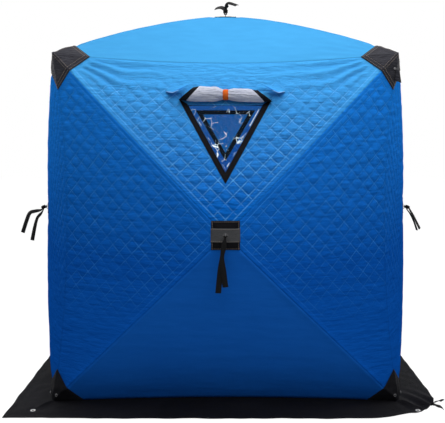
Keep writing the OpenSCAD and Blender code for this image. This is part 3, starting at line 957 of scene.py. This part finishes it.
# Windows: tape outside and inside, panes, closed flaps
INNER_TAPE_GAP = 0.002
PANE_UNDER_TAPE = 0.014
PANE_GAP = 0.0006
PANE_SAG = 0.004
PANE_CREASE = 0.005
PANE_FINE_CREASE = 0.0015
FLAP_MARGIN = 0.009
FLAP_BORDER = 0.06


def on_wall(q, lift):
    """Lays a flat mesh, drawn as seen from the front, on a wall."""
    return lambda x, z: turned(q, wall_point(x, z, lift))


def tape_meshes(q, skip_top, inner_width):
    corners = window_corners(0.0)
    outside = ring_sheet(corners, TAPE, on_wall(q, TAPE_LIFT), outward(q), skip_top)
    inside = ring_sheet(corners, inner_width, on_wall(q, -CLOTH - INNER_TAPE_GAP), -outward(q))
    return [outside, inside]


def in_window(u, v, margin):
    left, right, point = window_corners(margin)
    x = point[0] + (left[0] - point[0]) * u + (right[0] - point[0]) * v
    z = point[1] + (left[1] - point[1]) * u + (right[1] - point[1]) * v
    return x, z


def pane_place(u, v):
    x, z = in_window(u, v, TAPE - PANE_UNDER_TAPE)
    creased = PANE_CREASE * ripple(x * 11, 3.0, z * 11) + PANE_FINE_CREASE * ripple(x * 30, 7.0, z * 30)
    free = ease(-window_reach(x, z) - TAPE, 0.04)
    return wall_point(x, z, -CLOTH - PANE_GAP + (creased - PANE_SAG) * free)


def flap_place(u, v, q):
    x, z = in_window(u, v, FLAP_MARGIN)
    inner = ease(-window_reach(x, z) - 0.03, 0.03)
    return turned(q, wall_point(x, z, FLAP_LIFT + FLAP_PUFF * cushion(u, v, FLAP_CELLS) * inner))


piece(
    "front_window_binding", tape_meshes(0, True, TAPE), [black_tape], TAPE_T,
    node="front_window_tape"
)
closed_tapes = []
flap_sheets = []
for wall in CLOSED_WALLS:
    closed_tapes += tape_meshes(wall, False, INNER_TAPE)
    flap_sheets.append(half_sheet(48, lambda u, v, q=wall: flap_place(u, v, q), outward(wall)))
piece(
    "closed_window_bindings", closed_tapes, [black_tape], TAPE_T,
    node="closed_window_tapes"
)
pane = half_sheet(48, pane_place, outward(0))
piece("front_window_film", [pane], [clear_film], FILM_T, node="front_window_pane")
flaps = piece(
    "closed_flaps", flap_sheets, [flap_lit_blue, black_tape], FLAP_T,
    node="closed_window_flaps"
)
for polygon in flaps.data.polygons:
    flap_u, flap_v = flaps.data.uv_layers["Cloth"].data[polygon.loop_start].uv
    if min(flap_u, flap_v, 1 - flap_u - flap_v) < FLAP_BORDER:
        polygon.material_index = 1

# The front window's flap, rolled up with its white lining outwards and drawn in by a tie
ROLL_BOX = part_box("front_window_roll")
ROLL_Y = (ROLL_BOX[0].y + ROLL_BOX[1].y) / 2
ROLL_Z = WINDOW_TOP + 0.024
ROLL_HALF = 0.24
ROLL_TOP_SHORT = 0.078
ROLL_LEFT_R = 0.0385
ROLL_RIGHT_R = 0.0345
ROLL_TAPER = 0.005
ROLL_FLAT = 0.92
ROLL_TILT = 0.006
ROLL_STEPS = 60
ROLL_END = 0.82
TIE_R = 0.0232
TIE_HALF = 0.014
TIE_GAP = 0.0024
TIE_T = 0.0022
TIE_WAVE = 0.004
PLEAT = 0.085
PLEATS = 9
# Swell of the lining, with its scale along the roll and round it
ROLL_SWELLS = ((0.08, 6, 1.6), (0.03, 26, 5), (0.03, 14, 12))


def roll_radius(s):
    full = ROLL_LEFT_R if s < 0 else ROLL_RIGHT_R
    return TIE_R + (full - TIE_R) * ease(abs(s), 0.32) - ROLL_TAPER * ease(abs(s) - 0.7, 0.3)


def roll_place(s, turn):
    """A point of the roll, from its share of the half length and its turn round the roll."""
    up = math.cos(turn)
    back = math.sin(turn)
    radius = roll_radius(s) * (1 + PLEAT * math.sin((turn + s) * PLEATS) * bell(s, 0.3))
    for swell, along, around in ROLL_SWELLS:
        radius *= 1 + swell * ripple(s * along, up * around, back * around)
    reach = ROLL_HALF - ROLL_TOP_SHORT * (0.5 + 0.5 * up)
    return Vector((s * reach, ROLL_Y + back * radius * ROLL_FLAT, ROLL_Z + up * radius - ROLL_TILT * s))


def rolled_flap():
    bm = bmesh.new()
    line = [bm.verts.new((i / ROLL_STEPS * 2 - 1, 0, 1)) for i in range(ROLL_STEPS + 1)]
    edges = [bm.edges.new(pair) for pair in zip(line, line[1:])]
    full_spin(bm, line + edges, axis=(1, 0, 0), steps=48)
    bmesh.ops.holes_fill(bm, edges=[e for e in bm.edges if e.is_boundary], sides=0)
    sheet_map = bm.loops.layers.uv.new("Cloth")
    for face in bm.faces:
        face.material_index = 1 if abs(face.calc_center_median().x) > ROLL_END else 0
        for loop in face.loops:
            loop[sheet_map].uv = (loop.vert.co.x, math.atan2(loop.vert.co.y, loop.vert.co.z))
    for v in bm.verts:
        v.co = roll_place(v.co.x, math.atan2(v.co.y, v.co.z))
    return solid_mesh(bm)


def tie_mesh():
    def section(x, y):
        return x * TIE_HALF, 0, TIE_R + TIE_GAP + y * TIE_T

    bm = spun_section(16, section, axis=(1, 0, 0), steps=32)
    for v in bm.verts:
        v.co.x += TIE_WAVE * ripple(v.co.y * 60, v.co.z * 60, 2.0)
    bmesh.ops.translate(bm, verts=bm.verts[:], vec=(0, ROLL_Y, ROLL_Z))
    return solid_mesh(bm)


roll = piece(
    "rolled_flap", [rolled_flap()], [white_lining, black_tape], node="front_window_roll"
)
piece("flap_tie", [tie_mesh()], [orange_tape], node="front_roll_tie")

# Hem of the rolled flap, and its free corners beyond the roll: across, up and out of the wall
EAR_LOW = (Vector((0.236, 0.008, 0.046)), Vector((0.262, 0.005, 0.036)), Vector((0.306, 0.034, 0.01)))
EAR_HIGH = (Vector((0.166, 0.062, 0.032)), Vector((0.306, 0.05, 0.006)))
EAR_BEND = 0.35
EAR_START = 0.235
EAR_HIGHLIGHT_SHARE = 0.05
HEM_L = 0.46
HEM_W = 0.044
HEM_DROP = 0.004


def ear_place(u, v, side):
    if u < EAR_BEND:
        low = EAR_LOW[0].lerp(EAR_LOW[1], u / EAR_BEND)
    else:
        low = EAR_LOW[1].lerp(EAR_LOW[2], (u - EAR_BEND) / (1 - EAR_BEND))
    p = low.lerp(EAR_HIGH[0].lerp(EAR_HIGH[1], u), v)
    return wall_point(side * p.x, WINDOW_TOP + p.y, p.z)


def hem_place(u, v):
    return wall_point((u - 0.5) * HEM_L, WINDOW_TOP - HEM_DROP + HEM_W * v, HEM_LIFT)


hem_sheets = []
for end in (-1, 1):
    hem_sheets.append(quad_sheet(16, 10, lambda u, v, s=end: ear_place(u, v, s), outward(0)))
hem_sheets.append(quad_sheet(40, 4, hem_place, outward(0)))
hem = piece(
    "flap_hem_and_ears", hem_sheets, [upper_lit_blue, ear_rim_highlight], TAPE_T,
    node="front_flap_hem"
)
# The lower rim of each free corner takes the painted highlight.
for polygon in hem.data.polygons:
    if abs(polygon.center.x) > EAR_START:
        ear_v = min(hem.data.uv_layers["Cloth"].data[i].uv[1] for i in polygon.loop_indices)
        polygon.material_index = 1 if ear_v < EAR_HIGHLIGHT_SHARE else 0

# Metal rings and rivets on the caps, and the loop sewn into the seam under one upper cap
CAP_RING_R = 0.006
CAP_RING_BAR = 0.002
CAP_RING_AT = (0.06, 0.36, 0.009)
RIVET_R = 0.007
RIVET_FLAT = 0.45
RIVET_AT = (0.366, 0.185, 0.0085)
RIVET_WALLS = (0, 2)
SEWN_LOOP_OUT = Vector((1, -0.3, 0)).normalized()
SEWN_LOOP_ALONG = Vector((0.3, 1, 0)).normalized()
SEWN_LOOP_START = 0.049
SEWN_LOOP_FALL = 0.03
SEWN_LOOP_LIFT = 0.004
SEWN_LOOP_GAP = 0.003
SEWN_LOOP_REACH = 0.03
SEWN_LOOP_HALF = 0.008
SEWN_LOOP_SAG = 0.012


def seated(bm, place, facing):
    """Turns a fitting, made to face along Y, and moves it to its place."""
    turn = facing.to_track_quat("Y", "Z").to_matrix().to_4x4()
    bmesh.ops.transform(bm, matrix=Matrix.Translation(place) @ turn, verts=bm.verts[:])
    return solid_mesh(bm)


def cap_ring():
    def section(x, y):
        return CAP_RING_R + CAP_RING_BAR * x, CAP_RING_BAR * y, 0

    return spun_section(10, section, axis=(0, 1, 0), steps=20)


def cap_rivet():
    bm = bmesh.new()
    bmesh.ops.create_icosphere(bm, subdivisions=3, radius=RIVET_R)
    bmesh.ops.scale(bm, verts=bm.verts[:], vec=(1, RIVET_FLAT, 1))
    return bm


def sewn_loop_place(u, v):
    bend = math.pi * (u - 0.5)
    b = SEWN_LOOP_START + SEWN_LOOP_FALL * v
    seam = skin("right", 1 - b, b, SEWN_LOOP_LIFT)
    out = SEWN_LOOP_OUT * ((SEWN_LOOP_GAP + SEWN_LOOP_REACH * math.cos(bend)) * (0.5 + 0.5 * v))
    along = SEWN_LOOP_ALONG * (SEWN_LOOP_HALF * math.sin(bend))
    return seam + out + along - UP * (SEWN_LOOP_SAG * math.cos(bend) * v)


fittings = []
for wall in range(4):
    for sector in ((wall, "left", 1), (wall, "right", 2)):
        fittings.append(seated(cap_ring(), cap_place(sector, LOW_CAP, *CAP_RING_AT), outward(wall)))
    if wall in RIVET_WALLS:
        rivet_at = cap_place((wall, "right", 1), TOP_CAP, *RIVET_AT)
        fittings.append(seated(cap_rivet(), rivet_at, outward(wall)))
piece("cap_rings_and_rivets", fittings, [dark_metal])
sewn_loop = quad_sheet(16, 10, sewn_loop_place)
piece("upper_cap_loop", [sewn_loop], [black_cloth], TAPE_T)

# Snow skirt, crumpled and drawn in at the front right corner
EYELET_X = 0.974
EYELET_Y = 1.013
EYELETS = [Vector((x, y)) for x in (-EYELET_X, EYELET_X) for y in (-EYELET_Y, EYELET_Y)]
SKIRT_LOW = 0.002
SKIRT_LIE = 0.003
EYELET_LIE = 0.0024
EYELET_R = 0.014
SKIRT_WAVE = 0.007
SKIRT_FINE_WAVE = 0.0025
SKIRT_TUCK = CLOTH + 0.014
EDGE_WAVE = 0.006
EDGE_BINDING = 0.0012
CREASE_FROM = (0.89, 0.89)
CREASE_TO = (0.978, 1.018)
CREASE_H = 0.011
CREASE_W = 0.009
CRUMPLE_AT = Vector((1.03, -0.93))
CRUMPLE_H = 0.016
CRUMPLE_R = 0.12
DRAWN_CORNER = Vector((1.1, -0.992))
DRAWN_R = 0.085
DRAWN_WAY = Vector((-0.034, 0.016, 0))
FRONT_SLANT = 0.108
FRONT_BELLY = 0.008
EYELET_BULGE = 0.014


def corner_crease(at, sx, sy):
    """Height of the crease from a corner of the hem to its eyelet."""
    start = Vector((sx * CREASE_FROM[0], sy * CREASE_FROM[1]))
    along = Vector((sx * CREASE_TO[0], sy * CREASE_TO[1])) - start
    share = min(max((at - start).dot(along) / along.length_squared, 0), 1)
    off = (at - start - along * share).length
    return CREASE_H * bell(off, CREASE_W) * math.sin(math.pi * min(share + 0.1, 1.0))


def skirt_height(x, y):
    at = Vector((x, y))
    far = max(abs(x), abs(y)) - HALF + 0.03
    rise = ease(far, 0.08) * (1 - 0.75 * ease(far - 0.16, 0.06))
    z = SKIRT_LIE + SKIRT_WAVE * rise * (0.5 + 0.5 * ripple(x * 5, y * 5, 1.0))
    z += SKIRT_FINE_WAVE * ripple(x * 19, y * 19, 4.0) * rise
    for sx in (-1, 1):
        for sy in (-1, 1):
            z += corner_crease(at, sx, sy)
    crumple = CRUMPLE_H * bell((at - CRUMPLE_AT).length, CRUMPLE_R)
    z += crumple * (0.5 + 0.5 * math.sin(x * 75 + y * 40))
    for eyelet in EYELETS:
        z = EYELET_LIE + (z - EYELET_LIE) * ease((at - eyelet).length - EYELET_R, 0.022)
    return max(z, SKIRT_LOW)


def skirt_place(q, u, v):
    hem_point = skin("lower", u, 1 - u, -SKIRT_TUCK)
    x = hem_point.x * (1 - v) + (2 * u - 1) * (HALF + SKIRT) * v
    y = hem_point.y * (1 - v) - (HALF + SKIRT) * v
    p = turned(q, (x, y, 0))
    reach = min(max((-p.y - HALF) / SKIRT, 0), 1)
    p.y += (FRONT_SLANT * ease(p.x - 0.72, 0.42) - FRONT_BELLY * ease(HALF - abs(p.x), 0.3)) * reach
    wave = EDGE_WAVE * ripple(p.x * 9, p.y * 9, 6.0) * ease(v - 0.7, 0.3)
    for eyelet in EYELETS:
        wave *= ease((p.xy - eyelet).length - 0.03, 0.06)
    p += outward(q) * wave
    p += DRAWN_WAY * bell((p.xy - DRAWN_CORNER).length, DRAWN_R)
    p.y -= EYELET_BULGE * reach * bell(p.x - EYELET_X, 0.07)
    p.z = skirt_height(p.x, p.y) + EDGE_BINDING * ease(v - 0.9, 0.02)
    return p


for wall in range(4):
    strip = quad_sheet(180, 22, lambda u, v, q=wall: skirt_place(q, u, v), UP)
    skirt = piece(
        f"{WALLS[wall]}_snow_skirt", [strip], [skirt_cloth], SKIRT_T,
        node=f"{WALLS[wall]}_skirt"
    )

# Two short ties at the drawn-in corner of the skirt
CORNER_TIE_START = Vector((1.05, -0.974, 0.014))
CORNER_TIE_ENDS = (Vector((1.126, -0.93, 0.016)), Vector((1.1, -1.02, 0.012)))
CORNER_TIE_W = 0.03
CORNER_TIE_ARCH = 0.01
CORNER_TIE_KINK = 0.003
CORNER_TIE_LEAN = 0.07


def corner_tie_place(u, v, end):
    start = CORNER_TIE_START
    p = start.lerp(end, v)
    p.z += CORNER_TIE_ARCH * math.sin(math.pi * v) + CORNER_TIE_KINK * math.sin(9 * v)
    across = Vector((end.y - start.y, start.x - end.x, CORNER_TIE_LEAN)).normalized()
    return p + across * (CORNER_TIE_W * (u - 0.5) * (0.5 + 0.5 * ease(v, 0.4)))


corner_ties = []
for tie_end in CORNER_TIE_ENDS:
    corner_ties.append(quad_sheet(6, 16, lambda u, v, e=tie_end: corner_tie_place(u, v, e), UP))
piece("skirt_corner_ties", corner_ties, [skirt_cloth], SKIRT_T)

# Zip along both poles of the door in the back wall
ZIP_START = PATCH + 0.004
ZIP_L = 1 - 0.125 - PATCH
ZIP_W = 0.0266
ZIP_TEETH_LIFT = 0.0055
TOOTH = {"length": 0.003, "gap": 0.0028, "wide": 0.008, "high": 0.003}


def zip_place(top, along, across, lift):
    t = ZIP_START + ZIP_L * along
    share = ZIP_W * across
    a, b = (share, t - share) if top else (t - share, share)
    return turned(DOOR_WALL, skin("left", a, b, lift))


zip_sheets = []
zip_rows = []
for upper in (True, False):
    zip_sheets.append(quad_sheet(
        120, 6, lambda u, v, k=upper: zip_place(k, u, v, ZIP_LIFT), outward(DOOR_WALL)
    ))
    zip_rows.append(even_row(60, lambda along, k=upper: zip_place(k, along, 0.5, ZIP_TEETH_LIFT)))
piece("door_zip_tape", zip_sheets, [black_tape], TAPE_T, node="back_door_zip")
piece("door_zip_teeth", [stitch_mesh(zip_rows, **TOOTH)], [moulded_black])

# Pull straps
MILLIMETRE = 0.001
STRAP_HALF = 0.014
STRAP_CUP = 0.0015
GATHERED_SHARE = 0.32
TWIST_NARROWS = 0.35
TWIST_AT = 0.45
TWIST_SPREAD = 0.13
LOOP_Z = 0.029
LOOP_R = 0.008
LOOP_BAR = 0.0035
TAIL_Z = LOOP_Z + LOOP_R
KNOT_SIZE = (0.015, 0.011, 0.014)
KNOT_WAY = Vector((0, -0.3, 1))
KNOT_AT = Vector((0, -0.002, TAIL_Z + 0.006))


def curve_through(points, steps=6):
    last = len(points) - 1
    line = []
    for i in range(last):
        p0, p1 = points[max(i - 1, 0)], points[i]
        p2, p3 = points[i + 1], points[min(i + 2, last)]
        for k in range(steps):
            u = k / steps
            line.append(
                p1 + (p2 - p0) * (u / 2) + (2 * p0 - 5 * p1 + 4 * p2 - p3) * (u * u / 2)
                + (3 * p1 - p0 - 3 * p2 + p3) * (u * u * u / 2)
            )
    line.append(points[last])
    return line


def at_hub(q, p):
    """A place on a wall's hub: across, up and out of the wall."""
    return turned(q, (p[0], -HALF - BULGE - p[2], MID + p[1]))


def at_roof(q, p):
    """A place on the roof's hub: across, back and up. The roof has one hub, whatever q is."""
    return Vector((p[0], p[1], EAVE + RISE + p[2]))


def strap_loop(name, hub, q, node):
    def section(x, y):
        return LOOP_R + LOOP_BAR * x, LOOP_BAR * y, 0

    bm = spun_section(12, section, axis=(0, 1, 0), steps=24)
    for v in bm.verts:
        v.co = hub(q, (v.co.x, v.co.y, v.co.z + LOOP_Z))
    piece(name, [solid_mesh(bm)], [strap_webbing], node=node)


def strap_knot(name, hub, q, node):
    """The lump where the tails are knotted next to the loop."""
    bm = bmesh.new()
    bmesh.ops.create_icosphere(bm, subdivisions=4, radius=1.0)
    turn = KNOT_WAY.to_track_quat("Z", "Y").to_matrix()
    for v in bm.verts:
        wrap = 1 + 0.1 * math.sin(v.co.z * 9) + 0.18 * noise.noise(v.co * 2.3)
        square = max(abs(c) for c in v.co)
        p = v.co * (wrap / square ** 0.5)
        v.co = hub(q, turn @ Vector([c * size for c, size in zip(p, KNOT_SIZE)]) + KNOT_AT)
    piece(name, [solid_mesh(bm)], [strap_webbing], node=node)


def strap_tail(name, hub, q, node, tail_route, twisted):
    points, face_from, face_to = tail_route
    local = [Vector(p) * MILLIMETRE + UP * TAIL_Z for p in points]
    route = [hub(q, p) for p in curve_through(local)]
    origin = hub(q, (0, 0, 0))
    first = hub(q, face_from) - origin
    final = hub(q, face_to) - origin
    last = len(route) - 1
    frames = []
    for i, p in enumerate(route):
        along = (route[min(i + 1, last)] - route[max(i - 1, 0)]).normalized()
        facing = first.lerp(final, i / last)
        facing = (facing - along * facing.dot(along)).normalized()
        gather = GATHERED_SHARE + (1 - GATHERED_SHARE) * ease(i / last - 0.05, 0.32)
        twist = 1.0 - TWIST_NARROWS * bell(i / last - TWIST_AT, TWIST_SPREAD) * twisted
        frames.append((p, facing.cross(along), facing, STRAP_HALF * gather * twist))

    def place(u, v):
        p, across, facing, half = frames[round(v * last)]
        side = 2 * u - 1
        return p + across * (half * side) + facing * (STRAP_CUP * math.cos(math.pi * side))

    strip = quad_sheet(6, last, place)
    tail = piece(name, [strip], [strap_webbing], STRAP_T, offset=0.0, node=node)
    length = sum((b - a).length for a, b in zip(route, route[1:]))
    tuple(route[0])
    [tuple(p) for p in route]


# Each tail's route in millimetres from the end of the loop, then the way it faces at its start and its end
HANGING = (
    ([(0, 0, 0), (-8, -40, 0), (-19, -110, -1), (-28, -200, -2), (-35, -270, -3)],
     (0, 0, 1), (0.15, 0, 1)),
    ([(0, 0, 0), (-6, -40, 5), (-16, -104, 4), (-8, -180, 4), (0, -240, 4)],
     (0, 0, 1), (-0.2, 0, 1)),
)
LEFT_TAILS = (
    ([(0, 0, 0), (4, -20, 22), (10, -28, 60), (12, -40, 94), (12, -90, 116), (10, -170, 142)],
     (0.5, 1, 0), (1, 0.2, 0.2)),
    ([(0, 0, 0), (-8, -40, 22), (-10, -76, 52), (-12, -140, 70), (-12, -225, 86)],
     (0.5, 0.2, 1), (1, 0.2, 0.2)),
)
RIGHT_TAILS = (
    ([(0, 0, 0), (0, 4, 12), (0, -20, 24), (-4, -60, 46), (-6, -145, 88)],
     (-0.3, 1, 0.6), (-0.75, 0.7, 0.6)),
    ([(0, 0, 0), (6, -20, 8), (8, -50, 30), (8, -100, 54), (8, -158, 74)],
     (0, 1, 0.6), (0.15, 0.6, 0.7)),
)
ROOF_TAILS = (
    ([(0, 0, 0), (-4, 8, 20), (-25, 45, 40), (-48, 90, 48), (-68, 135, 50)],
     (0, -1, 0.2), (0, -0.9, 0.3)),
    ([(0, 0, 0), (4, -8, 32), (20, -38, 52), (46, -80, 40), (74, -122, 22)],
     (0, -1, 0.2), (0.2, -0.8, 0.5)),
)
for strap, strap_hub, wall, tails, lies in (
    ("front", at_hub, 0, HANGING, "hanging"), ("right", at_hub, 1, RIGHT_TAILS, "hanging"),
    ("back", at_hub, 2, HANGING, "hanging"), ("left", at_hub, 3, LEFT_TAILS, "hanging"),
    ("roof", at_roof, 0, ROOF_TAILS, "loose"),
):
    strap_node = f"{strap}_pull_strap"
    flat_hung = tails is HANGING
    strap_loop(f"{strap}_strap_loop", strap_hub, wall, strap_node)
    if not flat_hung:
        strap_knot(f"{strap}_strap_knot", strap_hub, wall, strap_node)
    for label, tail_points in zip(("long", "short"), tails):
        tail_name = f"{strap}_strap_{label}_tail"
        strap_tail(tail_name, strap_hub, wall, strap_node, tail_points, flat_hung)

# Stage, light and camera
WHITE = (1.0, 1.0, 1.0)
LIT_FLOOR = (0.45, 0.45, 0.45)
SHADED_FLOOR = (0.9, 0.9, 0.9)
SHADE_SHARE = 0.1
FLOOR_GLOW = 1.1
FLOOR_HALF = 14
FLOOR_Z = -0.001
SKY_BLUE = (0.8, 0.9, 1.0)
SKY_STRENGTH = 0.21
# Place, target, width and power of each lamp
LAMPS = {
    "overhead_lamp": ((0.2, -0.9, 4.8), (0, -0.1, 1.8), 3.0, 105),
    "front_lamp": ((0.3, -2.5, 3.0), (0, -0.9, 1.2), 2.0, 36),
    "left_lamp": ((-3.2, 0.3, 2.7), (-0.9, 0, 1.2), 2.0, 34),
    "right_lamp": ((3.2, 0.3, 2.7), (0.9, 0, 1.2), 2.0, 36),
    "back_lamp": ((-0.3, 2.5, 3.0), (0, 0.9, 1.2), 2.0, 36),
}
INNER_LIGHT_AT = (0, 0, 0.7)
INNER_LIGHT = 14.5
INNER_LIGHT_R = 0.3
CAMERA_AT = (0, -4.3, 1.431)
FOCAL_LENGTH = 52.56
LENS_SHIFT = (-0.0067, -0.1876)


def shows_to_camera(tree):
    path = add_node(tree, "ShaderNodeLightPath")
    seen = math_node(tree, "MAXIMUM", path.outputs["Is Camera Ray"], path.outputs["Is Glossy Ray"])
    return math_node(tree, "MAXIMUM", seen, path.outputs["Is Transmission Ray"])


def coloured(tree, kind, colour, strength=None):
    made = add_node(tree, kind)
    feed(tree, made.inputs["Color"], colour)
    if strength:
        feed(tree, made.inputs["Strength"], strength)
    return made.outputs[0]


def mixed_shader(tree, share, first, second):
    made = add_node(tree, "ShaderNodeMixShader")
    for socket, value in zip(made.inputs, (share, first, second)):
        feed(tree, socket, value)
    return made.outputs[0]


def floor_material():
    material = bpy.data.materials.new("Pale floor")
    material.use_nodes = True
    tree = material.node_tree
    tree.nodes.remove(tree.nodes["Principled BSDF"])
    lit = coloured(tree, "ShaderNodeBsdfDiffuse", LIT_FLOOR)
    shaded = coloured(tree, "ShaderNodeBsdfDiffuse", SHADED_FLOOR)
    pale = coloured(tree, "ShaderNodeEmission", WHITE, FLOOR_GLOW)
    seen = mixed_shader(tree, SHADE_SHARE, pale, shaded)
    both = mixed_shader(tree, shows_to_camera(tree), lit, seen)
    feed(tree, tree.nodes["Material Output"].inputs["Surface"], both)
    return material


def put_in_scene(name, data, place):
    obj = bpy.data.objects.new(name, data)
    obj.location = place
    scene.collection.objects.link(obj)
    return obj


floor_bm = bmesh.new()
bmesh.ops.create_grid(floor_bm, x_segments=2, y_segments=2, size=FLOOR_HALF)
bmesh.ops.translate(floor_bm, verts=floor_bm.verts[:], vec=(0, 0, FLOOR_Z))
floor = put_in_scene("floor", solid_mesh(floor_bm, smooth=False), (0, 0, 0))
floor.data.materials.append(floor_material())

world = bpy.data.worlds.new("Studio")
scene.world = world
world.use_nodes = True
sky = world.node_tree
sky.nodes.remove(sky.nodes["Background"])
sky_light = coloured(sky, "ShaderNodeBackground", SKY_BLUE, SKY_STRENGTH)
backdrop = coloured(sky, "ShaderNodeBackground", WHITE)
sky_mix = mixed_shader(sky, shows_to_camera(sky), sky_light, backdrop)
feed(sky, sky.nodes["World Output"].inputs["Surface"], sky_mix)

for lamp_name, (lamp_at, target, size, power) in LAMPS.items():
    lamp = bpy.data.lights.new(lamp_name, "AREA")
    lamp.size = size
    lamp.energy = power
    lamp_obj = put_in_scene(lamp_name, lamp, lamp_at)
    lamp_obj.rotation_euler = (Vector(target) - Vector(lamp_at)).to_track_quat("-Z", "Y").to_euler()
inner = bpy.data.lights.new("light_through_cloth", "POINT")
inner.energy = INNER_LIGHT
inner.shadow_soft_size = INNER_LIGHT_R
put_in_scene("light_through_cloth", inner, INNER_LIGHT_AT)

lens = bpy.data.cameras.new("camera")
lens.sensor_width = 36
lens.lens = FOCAL_LENGTH
lens.shift_x, lens.shift_y = LENS_SHIFT
camera = put_in_scene("camera", lens, CAMERA_AT)
camera.rotation_euler = (math.radians(90), 0, 0)
scene.camera = camera
